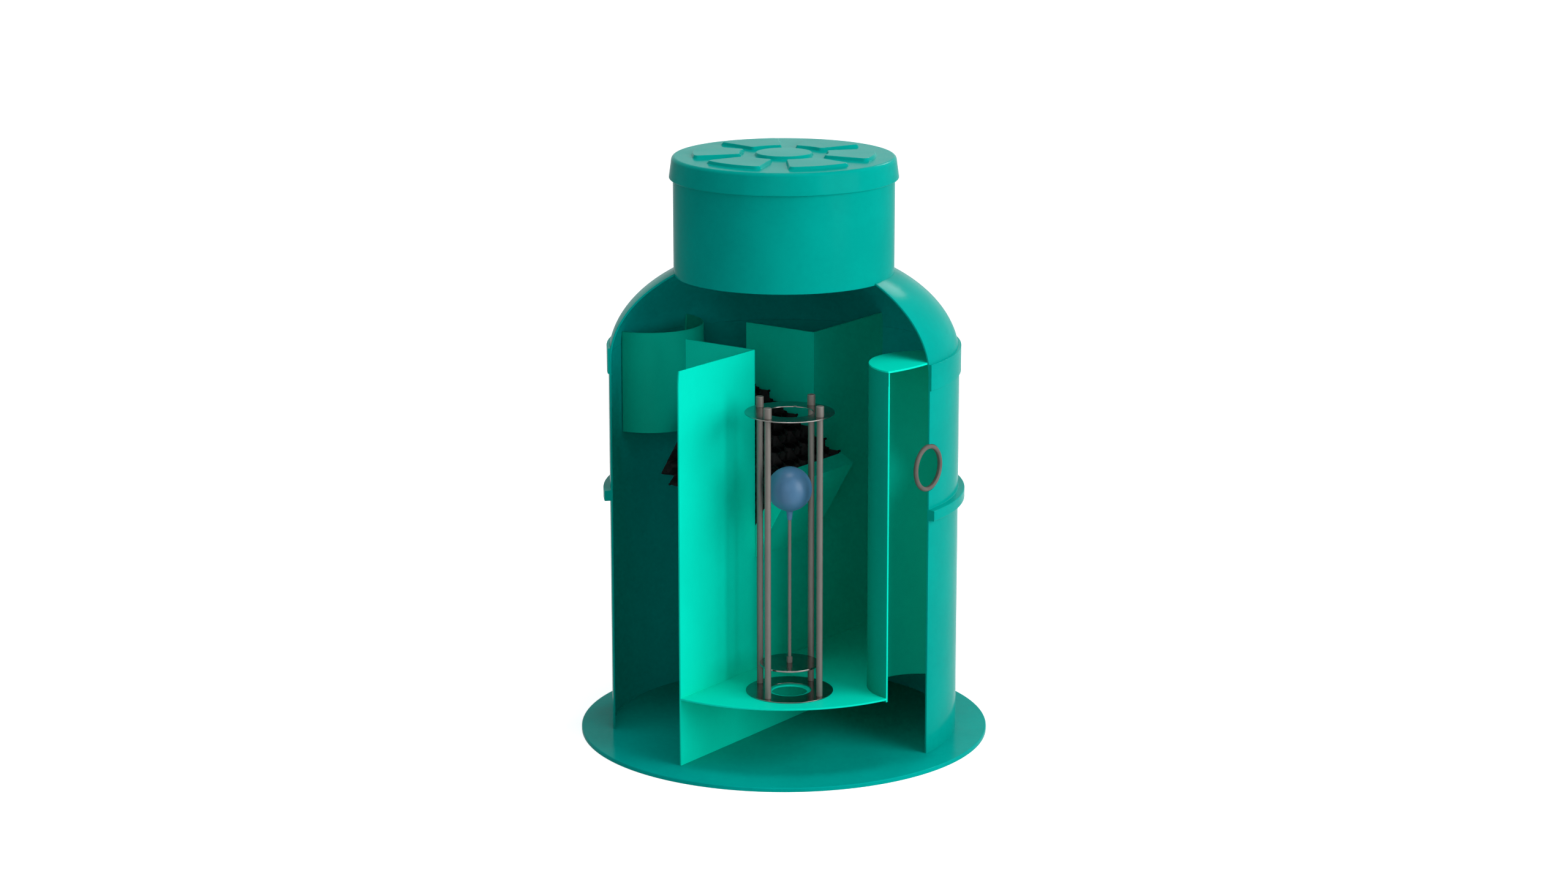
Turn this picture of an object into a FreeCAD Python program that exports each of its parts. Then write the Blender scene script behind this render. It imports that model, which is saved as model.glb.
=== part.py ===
"""Vertical oil separator tank, drawn as a cutaway.

Origin at the middle of the base plate's underside, +Z up, +X towards the outlet.
The inlet is on the -X side. A wedge of the shell, CUT_SWEEP wide and ending at the outlet
line on +X, is left away, so that the chambers inside lie open to the front (-Y).
"""
import FreeCAD, Part
import math
import os

from FreeCAD import Vector

# Shell and base, all sizes in millimetres and degrees
SHELL_DIAMETER = 1000.0
SHELL_WALL = 5.0
BASE_FLANGE = 90.0
BASE_THICKNESS = 12.0
BASE_EDGE_ROUND = 3.0
SHELL_TOP = 1106.0
CUT_SWEEP = 135.0

# Dome, its joint band and the stiffening rib
DOME_RISE = 315.0
BAND_HEIGHT = 74.0
BAND_THICKNESS = 5.0
RIB_HEIGHT = 31.0
RIB_DEPTH = 19.0
RIB_TOP_FALL = 1.5
RIB_ROOT_ROUND = 2.0
RIB_EDGE_ROUND = 2.5
RIB_MIDDLE_HEIGHT = 713.0

# Neck and cover
NECK_DIAMETER = 626.0
NECK_WALL = 5.0
NECK_REACH_BELOW_DOME = 6.6
NECK_HEIGHT_ABOVE_DOME = 298.4
COVER_SKIRT_DIAMETER = 650.0
COVER_SHOULDER_DIAMETER = 632.0
COVER_SKIRT_DROP = 30.0
COVER_HEIGHT_ABOVE_NECK = 32.0
COVER_WALL = 5.0
COVER_SHOULDER_ROUND = 10.0
COVER_CLEARANCE = 1.5
COVER_SEAT_WIDTH = 15.0
COVER_SKIRT_ROUND = 2.0

# Raised anti-slip pattern on the cover: a round boss and a ring of sector pads
PAD_COUNT = 6
PAD_RELIEF = 9.0
PAD_BEVEL = 5.0
PAD_INNER_RADIUS = 120.0
PAD_OUTER_RADIUS = 262.0
PAD_SWEEP = 44.0
BOSS_RADIUS = 84.0

# Partition, its window and the walls of the coalescer bay
PLATE_THICKNESS = 5.0
PARTITION_TOP = 1148.0
WINDOW_WIDTH = 285.0
WINDOW_SILL = 530.0
BAY_WALL_REACH = 240.0

# Coalescer pack of corrugated sheets, tilted in the window
PACK_TILT = 30.0
PACK_LENGTH = 347.0
PACK_HEIGHT = 289.0
PACK_SHEETS = 8
PACK_CORNER_X = -43.0
PACK_CORNER_Z = 556.0
PACK_SIDE_CLEARANCE = 0.7
SHEET_THICKNESS = 1.6
SHEET_CLEARANCE = 0.3
FLUTE_PITCH = 57.8
FLUTE_FLAT = 9.0
FLUTE_LEAN = 28.0
TOOTH_HEIGHT = 18.0
TOOTH_RISE = 11.6
TOOTH_TOP_START = -3.8
TOOTH_BOTTOM_START = -41.6
TOOTH_ROOT_ROUND = 8.0
TOOTH_NUB_RADIUS = 3.5
LEDGE_WIDTH = 18.0
CRADLE_DEPTH = 48.5

# Half-round hoods at the outlet and the inlet
HOOD_DIAMETER = 312.0
HOOD_WALL = 5.0
HOOD_CENTRE = 483.0
POCKET_BOTTOM = 198.0
DEFLECTOR_BOTTOM = 846.0

# Pipe holes and their rubber ring seals
PIPE_DIAMETER = 110.0
OUTLET_HEIGHT = 849.5
INLET_HEIGHT = 909.5
SEAL_OUTER_DIAMETER = 134.0
SEAL_SECTION = 13.5
SEAL_SQUEEZE = 1.0
SEAL_FIT = 0.3
SEAL_INSET = 4.0

# Valve shelf and the float valve that stands on it
SHELF_TOP = 210.0
VALVE_X = 204.0
VALVE_Y = -254.0
SHELF_PORT_DIAMETER = 100.0
VALVE_RING_THICKNESS = 3.0
BASE_RING_DIAMETER = 246.0
BASE_RING_BORE = 124.0
TOP_RING_DIAMETER = 250.0
TOP_RING_BORE = 134.0
TOP_RING_HEIGHT = 1015.0
NOTCH_WIDTH = 8.0
NOTCH_DEPTH = 6.0
NOTCH_ANGLE = 135.0
COLUMN_COUNT = 4
COLUMN_CIRCLE = 206.0
COLUMN_DIAMETER = 18.0
COLUMN_STUD_DIAMETER = 12.0
COLUMN_STUD_LENGTH = 22.0
STUD_FIT = 0.3
CAP_DIAMETER = 22.5
CAP_HEIGHT = 30.0
CAP_ROUND = 2.0
DISC_DIAMETER = 168.0
DISC_THICKNESS = 5.0
DISC_HEIGHT = 288.0
STEM_DIAMETER = 10.0
NUT_ACROSS_FLATS = 14.0
NUT_HEIGHT = 17.0
FLOAT_DIAMETER = 125.0
FLOAT_CENTRE = 797.5
FLOAT_NECK_DIAMETER = 17.5
FLOAT_NECK_FOOT_DIAMETER = 14.0
FLOAT_NECK_BOTTOM = 709.0
FLOAT_NECK_BLEND = 9.0

UP = Vector(0, 0, 1)
ORIGIN = Vector(0, 0, 0)

# Values that follow from the sizes above
SHELL_RADIUS = SHELL_DIAMETER / 2
SHELL_INNER = SHELL_RADIUS - SHELL_WALL
BASE_RADIUS = SHELL_RADIUS + BASE_FLANGE
STANDING_SWEEP = 360.0 - CUT_SWEEP
NECK_RADIUS = NECK_DIAMETER / 2
DOME_COLLAR_HEIGHT = SHELL_TOP + DOME_RISE * math.sqrt(1 - (NECK_RADIUS / SHELL_RADIUS) ** 2)
NECK_BOTTOM = DOME_COLLAR_HEIGHT - NECK_REACH_BELOW_DOME
NECK_TOP = DOME_COLLAR_HEIGHT + NECK_HEIGHT_ABOVE_DOME
COVER_TOP = NECK_TOP + COVER_HEIGHT_ABOVE_NECK
HOOD_RADIUS = HOOD_DIAMETER / 2
SHELF_BOTTOM = SHELF_TOP - PLATE_THICKNESS
HALF_PLATE = PLATE_THICKNESS / 2
SEAL_HOLE_RADIUS = SEAL_OUTER_DIAMETER / 2 + SEAL_FIT
SEAL_PLANE = SHELL_RADIUS - SEAL_INSET
PACK_WIDTH = WINDOW_WIDTH - 2 * PACK_SIDE_CLEARANCE
PACK_CORNER = Vector(PACK_CORNER_X, 0, PACK_CORNER_Z)
PACK_ALONG = Vector(-math.cos(math.radians(PACK_TILT)), 0, math.sin(math.radians(PACK_TILT)))
PACK_UP = Vector(math.sin(math.radians(PACK_TILT)), 0, math.cos(math.radians(PACK_TILT)))


# Helpers for profiles and solids

def face(points):
    """Plane face with straight sides through the points."""
    return Part.Face(Part.makePolygon(points + [points[0]]))


def revolved(points, start=0.0, sweep=360.0):
    """Ring about the tank's axis from a profile of (radius, height) points."""
    profile = face([Vector(r, 0, z) for r, z in points])
    profile.rotate(ORIGIN, UP, start)
    return profile.revolve(ORIGIN, UP, sweep)


def ring(inner, outer, bottom, top, start=0.0, sweep=360.0):
    """Plain ring of rectangular section."""
    return revolved([(inner, bottom), (outer, bottom), (outer, top), (inner, top)], start, sweep)


def rod(radius, bottom, top, x=0.0, y=0.0):
    """Upright round bar."""
    return Part.makeCylinder(radius, top - bottom, Vector(x, y, bottom), UP)


def plate_y(outline, middle, thickness):
    """Plate standing in the XZ plane at y = middle, from (x, z) points."""
    points = [Vector(x, middle - thickness / 2, z) for x, z in outline]
    return face(points).extrude(Vector(0, thickness, 0))


def pack_point(along, up, y=0.0):
    """Point given in the tilted directions of the coalescer pack."""
    return PACK_CORNER + PACK_ALONG * along + PACK_UP * up + Vector(0, y, 0)


def edges_at(shape, test):
    """Edges whose middle point passes the test."""
    return [edge for edge in shape.Edges if test(edge.valueAt(sum(edge.ParameterRange) / 2), edge)]


def top_rims(shape, height):
    """Round edges of the shape's flat top at a height."""
    def on_top(middle, edge):
        return middle.z > height - 0.01 and edge.Curve.TypeId == "Part::GeomCircle"

    return edges_at(shape, on_top)


# Shell, base, dome and neck

def base_plate():
    """Round anchor plate with a softened upper rim."""
    plate = rod(BASE_RADIUS, 0, BASE_THICKNESS)
    return plate.makeFillet(BASE_EDGE_ROUND, top_rims(plate, BASE_THICKNESS))


def pipe_holes():
    """Drills for the two ring seals, through the wall and whatever stands on it outside."""
    reach = SHELL_RADIUS + RIB_DEPTH + SEAL_SECTION
    outlet = Part.makeCylinder(SEAL_HOLE_RADIUS, reach, Vector(0, 0, OUTLET_HEIGHT), Vector(1, 0, 0))
    inlet = Part.makeCylinder(SEAL_HOLE_RADIUS, reach, Vector(0, 0, INLET_HEIGHT), Vector(-1, 0, 0))
    return [outlet, inlet]


def shell_panels():
    """The standing part of the round wall, in equal panels from the outlet line round."""
    names = ["shell_wall_outlet_side", "shell_wall_rear", "shell_wall_inlet_side"]
    sweep = STANDING_SWEEP / len(names)
    panels = {}
    for i, name in enumerate(names):
        panel = ring(SHELL_INNER, SHELL_RADIUS, BASE_THICKNESS, SHELL_TOP, i * sweep, sweep)
        panels[name] = panel.cut(pipe_holes())
    return panels


def dome_arc(radius, rise, inner_end):
    """Quarter of the dome's ellipse in the XZ plane, and its end point at inner_end."""
    centre = Vector(0, 0, SHELL_TOP)
    ellipse = Part.Ellipse(centre + Vector(radius, 0, 0), centre + Vector(0, 0, rise), centre)
    height = rise * math.sqrt(1 - (inner_end / radius) ** 2)
    end = centre + Vector(inner_end, 0, height)
    arc = Part.ArcOfEllipse(ellipse, 0, ellipse.parameter(end))
    return arc.toShape(), end


def dome_head():
    """Elliptical head from the shell's rim to the neck."""
    outer, outer_end = dome_arc(SHELL_RADIUS, DOME_RISE, NECK_RADIUS)
    inner, inner_end = dome_arc(SHELL_INNER, DOME_RISE - SHELL_WALL, NECK_RADIUS)
    rim = Part.makeLine(Vector(SHELL_INNER, 0, SHELL_TOP), Vector(SHELL_RADIUS, 0, SHELL_TOP))
    collar = Part.makeLine(inner_end, outer_end)
    profile = Part.Face(Part.Wire(Part.__sortEdges__([outer, collar, inner, rim])))
    return profile.revolve(ORIGIN, UP, STANDING_SWEEP)


def chamber_space():
    """Round space inside the shell and the dome, which trims what stands against them."""
    arc, end = dome_arc(SHELL_INNER, DOME_RISE - SHELL_WALL, NECK_RADIUS)
    floor_middle = Vector(0, 0, BASE_THICKNESS)
    floor_edge = Vector(SHELL_INNER, 0, BASE_THICKNESS)
    shell_rim = Vector(SHELL_INNER, 0, SHELL_TOP)
    roof_middle = Vector(0, 0, end.z)
    edges = [
        Part.makeLine(floor_middle, floor_edge),
        Part.makeLine(floor_edge, shell_rim),
        arc,
        Part.makeLine(end, roof_middle),
        Part.makeLine(roof_middle, floor_middle),
    ]
    return Part.Face(Part.Wire(edges)).revolve(ORIGIN, UP, 360)


def joint_band():
    """Laminate band over the joint between the shell and the dome."""
    bottom = SHELL_TOP - BAND_HEIGHT / 2
    outer = SHELL_RADIUS + BAND_THICKNESS
    return ring(SHELL_RADIUS, outer, bottom, bottom + BAND_HEIGHT, 0, STANDING_SWEEP)


def shell_rib():
    """Stiffening ring round the middle of the shell: coved root, falling top, rounded edges."""
    low = RIB_MIDDLE_HEIGHT - RIB_HEIGHT / 2
    high = RIB_MIDDLE_HEIGHT + RIB_HEIGHT / 2
    outer = SHELL_RADIUS + RIB_DEPTH
    root = SHELL_RADIUS + RIB_ROOT_ROUND
    shoulder = high - RIB_TOP_FALL
    cove_middle = Vector(root, 0, high + RIB_ROOT_ROUND)
    cove_middle += Vector(-1, 0, -1).normalize() * RIB_ROOT_ROUND
    edges = [
        Part.makeLine(Vector(SHELL_RADIUS, 0, low), Vector(outer, 0, low)),
        Part.makeLine(Vector(outer, 0, low), Vector(outer, 0, shoulder)),
        Part.makeLine(Vector(outer, 0, shoulder), Vector(root, 0, high)),
        Part.Arc(
            Vector(root, 0, high), cove_middle, Vector(SHELL_RADIUS, 0, high + RIB_ROOT_ROUND)
        ).toShape(),
        Part.makeLine(Vector(SHELL_RADIUS, 0, high + RIB_ROOT_ROUND), Vector(SHELL_RADIUS, 0, low)),
    ]
    rib = Part.Face(Part.Wire(edges)).revolve(ORIGIN, UP, STANDING_SWEEP)
    rims = edges_at(rib, lambda p, e: e.Length > outer and math.hypot(p.x, p.y) > outer - 0.01)
    return rib.makeFillet(RIB_EDGE_ROUND, rims).cut(pipe_holes())


def neck():
    """Access neck between the dome and the cover."""
    return ring(NECK_RADIUS - NECK_WALL, NECK_RADIUS, NECK_BOTTOM, NECK_TOP)


# Cover

def sector_outline(inner, outer, sweep, height):
    """Closed outline of a ring sector, centred on the +X direction."""
    half = math.radians(sweep / 2)

    def at(radius, angle):
        return Vector(radius * math.cos(angle), radius * math.sin(angle), height)

    edges = [
        Part.Arc(at(inner, -half), at(inner, 0), at(inner, half)).toShape(),
        Part.makeLine(at(inner, half), at(outer, half)),
        Part.Arc(at(outer, half), at(outer, 0), at(outer, -half)).toShape(),
        Part.makeLine(at(outer, -half), at(inner, -half)),
    ]
    return Part.Wire(edges)


def cover_pad():
    """One raised sector pad with bevelled sides."""
    bevel_angle = math.degrees(PAD_BEVEL / ((PAD_INNER_RADIUS + PAD_OUTER_RADIUS) / 2))
    foot = sector_outline(PAD_INNER_RADIUS, PAD_OUTER_RADIUS, PAD_SWEEP, COVER_TOP)
    crown = sector_outline(
        PAD_INNER_RADIUS + PAD_BEVEL,
        PAD_OUTER_RADIUS - PAD_BEVEL,
        PAD_SWEEP - 2 * bevel_angle,
        COVER_TOP + PAD_RELIEF,
    )
    return Part.makeLoft([foot, crown], True, True)


def cover():
    """Lift-off cover: tapered skirt round the neck, seat on its rim and raised pattern."""
    skirt = COVER_SKIRT_DIAMETER / 2
    shoulder = COVER_SHOULDER_DIAMETER / 2
    skirt_bottom = NECK_TOP - COVER_SKIRT_DROP
    taper_top = COVER_TOP - COVER_SHOULDER_ROUND
    slope = (skirt - shoulder) / (taper_top - skirt_bottom)
    top_radius = shoulder - slope * COVER_SHOULDER_ROUND
    seat_inner = NECK_RADIUS - COVER_SEAT_WIDTH
    fit = NECK_RADIUS + COVER_CLEARANCE
    under = COVER_TOP - COVER_WALL
    body = revolved([
        (0, under),
        (seat_inner, under),
        (seat_inner, NECK_TOP),
        (fit, NECK_TOP),
        (fit, skirt_bottom),
        (skirt, skirt_bottom),
        (top_radius, COVER_TOP),
        (0, COVER_TOP),
    ])
    body = body.makeFillet(COVER_SHOULDER_ROUND, top_rims(body, COVER_TOP))

    def on_lip(middle, edge):
        return middle.z < skirt_bottom + 0.01 and math.hypot(middle.x, middle.y) > fit + 0.01

    body = body.makeFillet(COVER_SKIRT_ROUND, edges_at(body, on_lip))
    boss = revolved([
        (0, COVER_TOP),
        (BOSS_RADIUS, COVER_TOP),
        (BOSS_RADIUS - PAD_BEVEL, COVER_TOP + PAD_RELIEF),
        (0, COVER_TOP + PAD_RELIEF),
    ])
    raised = [boss]
    for i in range(PAD_COUNT):
        pad = cover_pad()
        pad.rotate(ORIGIN, UP, (i + 0.5) * 360.0 / PAD_COUNT)
        raised.append(pad)
    return body.fuse(raised).removeSplitter()


# Chambers

def partition_wall():
    """Wall between the chambers, with a window that is open at the top."""
    half = SHELL_INNER
    jamb = WINDOW_WIDTH / 2
    outline = [
        (-half, BASE_THICKNESS),
        (half, BASE_THICKNESS),
        (half, PARTITION_TOP),
        (jamb, PARTITION_TOP),
        (jamb, WINDOW_SILL),
        (-jamb, WINDOW_SILL),
        (-jamb, PARTITION_TOP),
        (-half, PARTITION_TOP),
    ]
    points = [Vector(-HALF_PLATE, y, z) for y, z in outline]
    return face(points).extrude(Vector(PLATE_THICKNESS, 0, 0)).common(chamber_space())


def pack_floor_height(x):
    """Height of the pack's lower side, carried on in a straight line, at x."""
    return PACK_CORNER_Z - (x - PACK_CORNER_X) * math.tan(math.radians(PACK_TILT))


def bay_wall(side):
    """Side wall of the coalescer bay with an inward ledge that carries the pack."""
    near = -HALF_PLATE
    far = -BAY_WALL_REACH
    drop = PLATE_THICKNESS / math.cos(math.radians(PACK_TILT))
    near_floor = pack_floor_height(near)
    far_floor = pack_floor_height(far)
    outline = [
        (near, PARTITION_TOP),
        (far, PARTITION_TOP),
        (far, far_floor - drop),
        (near, near_floor - drop),
    ]
    wall = plate_y(outline, side * (WINDOW_WIDTH + PLATE_THICKNESS) / 2, PLATE_THICKNESS)
    ledge_outline = [
        (near, near_floor),
        (far, far_floor),
        (far, far_floor - drop),
        (near, near_floor - drop),
    ]
    ledge = plate_y(ledge_outline, side * (WINDOW_WIDTH - LEDGE_WIDTH) / 2, LEDGE_WIDTH)
    return wall.fuse(ledge).removeSplitter()


def tray_block(half_width, front, back, low_x, top):
    """Prism across the bay between two lines of the pack's slope, from a low X plane to a top."""
    corners = []
    for along in (front, back):
        low = (low_x - PACK_CORNER.x - along * PACK_ALONG.x) / PACK_UP.x
        corners.append(pack_point(along, low, -half_width))
        corners.append(pack_point(along, top, -half_width))
    outline = [corners[0], corners[1], corners[3], corners[2]]
    return face(outline).extrude(Vector(0, 2 * half_width, 0))


def cradle():
    """Folded tray on the outlet side: sloped back plate, two flanges and a top lip."""
    half = WINDOW_WIDTH / 2
    wall = PLATE_THICKNESS
    tray = tray_block(half, 0, -CRADLE_DEPTH, HALF_PLATE, PACK_HEIGHT)
    hollow = tray_block(half - wall, wall, wall - CRADLE_DEPTH, -wall, PACK_HEIGHT - wall)
    return tray.cut(hollow)


# Coalescer pack

def tooth_line(up, start):
    """Saw-toothed end line of the flutes: roots and tips from the outlet side to the inlet side."""
    roots = []
    tips = []
    while start < PACK_LENGTH + FLUTE_PITCH:
        roots.append((start, up))
        tips.append((start + TOOTH_RISE, up + TOOTH_HEIGHT))
        start += FLUTE_PITCH
    return roots, tips


def pack_envelope(y, thickness):
    """Side outline of one sheet: straight ends, toothed top and bottom with round nubs."""
    across = Vector(0, thickness, 0)
    top_roots, top_tips = tooth_line(PACK_HEIGHT - TOOTH_HEIGHT, TOOTH_TOP_START)
    low_tips, low_roots = tooth_line(0, TOOTH_BOTTOM_START)
    top_line = [point for pair in zip(top_roots, top_tips) for point in pair]
    low_line = [point for pair in zip(low_tips, low_roots) for point in pair]
    corners = [pack_point(a, b, y) for a, b in low_line + top_line[::-1]]
    toothed = face(corners).extrude(across)
    roots = [pack_point(a, b, y) for a, b in low_roots[:-1] + top_roots[1:]]

    def at_root(middle, edge):
        level = Vector(middle.x, y, middle.z)
        nearest = min((level - root).Length for root in roots)
        return nearest < 0.01 and abs(edge.Length - thickness) < 0.01

    toothed = toothed.makeFillet(TOOTH_ROOT_ROUND, edges_at(toothed, at_root))
    tips = [pack_point(a, b, y) for a, b in low_tips + top_tips]
    nubs = [Part.makeCylinder(TOOTH_NUB_RADIUS, thickness, tip, Vector(0, 1, 0)) for tip in tips]
    ends = [
        pack_point(0, -PACK_HEIGHT, y),
        pack_point(PACK_LENGTH, -PACK_HEIGHT, y),
        pack_point(PACK_LENGTH, 2 * PACK_HEIGHT, y),
        pack_point(0, 2 * PACK_HEIGHT, y),
    ]
    limits = face(ends).extrude(across)
    return toothed.fuse(nubs).common(limits)


def corrugated_sheet(index):
    """One corrugated sheet; the flutes of neighbours lean opposite ways."""
    spacing = PACK_WIDTH / PACK_SHEETS
    middle = -PACK_WIDTH / 2 + (index + 0.5) * spacing
    swing = (spacing - SHEET_CLEARANCE - SHEET_THICKNESS) / 2
    lean = FLUTE_LEAN if index % 2 else -FLUTE_LEAN
    shift = PACK_HEIGHT * math.tan(math.radians(lean))
    margin = abs(shift) + FLUTE_PITCH
    slope = FLUTE_PITCH / 2 - FLUTE_FLAT
    wave = []
    start = -margin
    while start < PACK_LENGTH + margin:
        wave.append((start, -swing))
        wave.append((start + FLUTE_FLAT, -swing))
        wave.append((start + FLUTE_FLAT + slope, swing))
        wave.append((start + 2 * FLUTE_FLAT + slope, swing))
        start += FLUTE_PITCH
    half = SHEET_THICKNESS / 2
    near = [pack_point(a, 0, middle + y - half) for a, y in wave]
    far = [pack_point(a, 0, middle + y + half) for a, y in wave]
    run = PACK_UP * PACK_HEIGHT + PACK_ALONG * shift
    sheet = face(near + far[::-1]).extrude(run)
    return sheet.common(pack_envelope(middle - spacing / 2, spacing))


# Hoods, seals and shelf

def hood(side, bottom, top):
    """Half-round wall that stands against the inside of the shell."""
    centre = side * HOOD_CENTRE
    tube = rod(HOOD_RADIUS, bottom, top, centre).cut(rod(HOOD_RADIUS - HOOD_WALL, bottom, top, centre))
    return tube.common(chamber_space())


def pocket_lid():
    """Flat top of the outlet pocket."""
    top = rod(HOOD_RADIUS, PARTITION_TOP - PLATE_THICKNESS, PARTITION_TOP, HOOD_CENTRE)
    return top.common(chamber_space())


def pipe_seal(side, height):
    """Rubber ring seal in the shell wall, with a flat land that grips the pipe."""
    centre = Vector(side * SEAL_PLANE, 0, height)
    section = SEAL_SECTION / 2
    middle = SEAL_OUTER_DIAMETER / 2 - section
    torus = Part.makeTorus(middle, section, centre, Vector(1, 0, 0))
    bore = Part.makeCylinder(
        PIPE_DIAMETER / 2 - SEAL_SQUEEZE / 2,
        2 * SEAL_SECTION,
        centre - Vector(SEAL_SECTION, 0, 0),
        Vector(1, 0, 0),
    )
    return torus.cut(bore)


def valve_shelf():
    """Half-round floor of the outlet chamber, with the port under the valve."""
    floor = ring(0, SHELL_INNER, SHELF_BOTTOM, SHELF_TOP, -90, 180)
    partition = Part.makeBox(
        HALF_PLATE, SHELL_DIAMETER, PLATE_THICKNESS, Vector(0, -SHELL_RADIUS, SHELF_BOTTOM)
    )
    pocket = rod(HOOD_RADIUS, SHELF_BOTTOM, SHELF_TOP, HOOD_CENTRE)
    port = rod(SHELF_PORT_DIAMETER / 2, SHELF_BOTTOM, SHELF_TOP, VALVE_X, VALVE_Y)
    return floor.cut([partition, pocket, port])


# Float valve

def column_places():
    """Plan positions of the guide columns."""
    places = []
    for i in range(COLUMN_COUNT):
        angle = math.radians(i * 360.0 / COLUMN_COUNT)
        radius = COLUMN_CIRCLE / 2
        places.append((VALVE_X + radius * math.cos(angle), VALVE_Y + radius * math.sin(angle)))
    return places


def valve_base_ring():
    """Seat ring on the shelf."""
    top = SHELF_TOP + VALVE_RING_THICKNESS
    plate = rod(BASE_RING_DIAMETER / 2, SHELF_TOP, top, VALVE_X, VALVE_Y)
    return plate.cut(rod(BASE_RING_BORE / 2, SHELF_TOP, top, VALVE_X, VALVE_Y))


def valve_top_ring():
    """Upper ring that ties the columns, with a small notch in its bore."""
    top = TOP_RING_HEIGHT + VALVE_RING_THICKNESS
    plate = rod(TOP_RING_DIAMETER / 2, TOP_RING_HEIGHT, top, VALVE_X, VALVE_Y)
    cuts = [rod(TOP_RING_BORE / 2, TOP_RING_HEIGHT, top, VALVE_X, VALVE_Y)]
    for x, y in column_places():
        cuts.append(rod(COLUMN_STUD_DIAMETER / 2 + STUD_FIT, TOP_RING_HEIGHT, top, x, y))
    notch = Part.makeBox(
        NOTCH_DEPTH * 2,
        NOTCH_WIDTH,
        VALVE_RING_THICKNESS,
        Vector(TOP_RING_BORE / 2 - NOTCH_DEPTH, -NOTCH_WIDTH / 2, TOP_RING_HEIGHT),
    )
    notch.rotate(ORIGIN, UP, NOTCH_ANGLE)
    notch.translate(Vector(VALVE_X, VALVE_Y, 0))
    cuts.append(notch)
    return plate.cut(cuts)


def guide_column(x, y):
    """Round column with a stud at its head for the top ring and the cap."""
    foot = SHELF_TOP + VALVE_RING_THICKNESS
    column = rod(COLUMN_DIAMETER / 2, foot, TOP_RING_HEIGHT, x, y)
    stud = rod(COLUMN_STUD_DIAMETER / 2, TOP_RING_HEIGHT, TOP_RING_HEIGHT + COLUMN_STUD_LENGTH, x, y)
    return column.fuse(stud).removeSplitter()


def column_cap(x, y):
    """Cap nut on a column's stud."""
    foot = TOP_RING_HEIGHT + VALVE_RING_THICKNESS
    cap = rod(CAP_DIAMETER / 2, foot, foot + CAP_HEIGHT, x, y)
    cap = cap.makeFillet(CAP_ROUND, top_rims(cap, foot + CAP_HEIGHT))
    bore_top = TOP_RING_HEIGHT + COLUMN_STUD_LENGTH + STUD_FIT
    return cap.cut(rod(COLUMN_STUD_DIAMETER / 2 + STUD_FIT, foot, bore_top, x, y))


def valve_disc():
    """Closing disc at the foot of the stem."""
    return rod(DISC_DIAMETER / 2, DISC_HEIGHT, DISC_HEIGHT + DISC_THICKNESS, VALVE_X, VALVE_Y)


def stem_nut():
    """Hexagon nut on the disc, threaded on the stem."""
    foot = DISC_HEIGHT + DISC_THICKNESS
    corner = NUT_ACROSS_FLATS / math.sqrt(3)
    points = []
    for i in range(6):
        angle = math.radians(60 * i)
        reach = Vector(corner * math.cos(angle), corner * math.sin(angle), foot)
        points.append(reach + Vector(VALVE_X, VALVE_Y, 0))
    nut = face(points).extrude(Vector(0, 0, NUT_HEIGHT))
    return nut.cut(rod(STEM_DIAMETER / 2, foot, foot + NUT_HEIGHT, VALVE_X, VALVE_Y))


def float_stem():
    """Straight stem from the disc to the float's neck."""
    return rod(STEM_DIAMETER / 2, DISC_HEIGHT + DISC_THICKNESS, FLOAT_NECK_BOTTOM, VALVE_X, VALVE_Y)


def float_ball():
    """Ball float drawn out into a short neck, turned as one piece."""
    radius = FLOAT_DIAMETER / 2
    neck_radius = FLOAT_NECK_DIAMETER / 2
    blend = FLOAT_NECK_BLEND
    # the blend arc touches the ball and the neck from outside
    arc_x = neck_radius + blend
    arc_drop = math.sqrt((radius + blend) ** 2 - arc_x ** 2)
    centre = Vector(0, 0, FLOAT_CENTRE)
    arc_centre = Vector(arc_x, 0, FLOAT_CENTRE - arc_drop)
    on_ball = centre + (arc_centre - centre) * (radius / (radius + blend))
    on_neck = arc_centre + Vector(-blend, 0, 0)
    halfway = (on_ball - arc_centre) + (on_neck - arc_centre)
    halfway = arc_centre + halfway.normalize() * blend
    side = Vector(radius, 0, FLOAT_CENTRE)
    top = Vector(0, 0, FLOAT_CENTRE + radius)
    neck_foot = Vector(FLOAT_NECK_FOOT_DIAMETER / 2, 0, FLOAT_NECK_BOTTOM)
    axis_foot = Vector(0, 0, FLOAT_NECK_BOTTOM)
    edges = [
        Part.Arc(top, side, on_ball).toShape(),
        Part.Arc(on_ball, halfway, on_neck).toShape(),
        Part.makeLine(on_neck, neck_foot),
        Part.makeLine(neck_foot, axis_foot),
        Part.makeLine(axis_foot, top),
    ]
    ball = Part.Face(Part.Wire(edges)).revolve(ORIGIN, UP, 360)
    ball.translate(Vector(VALVE_X, VALVE_Y, 0))
    return ball


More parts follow.
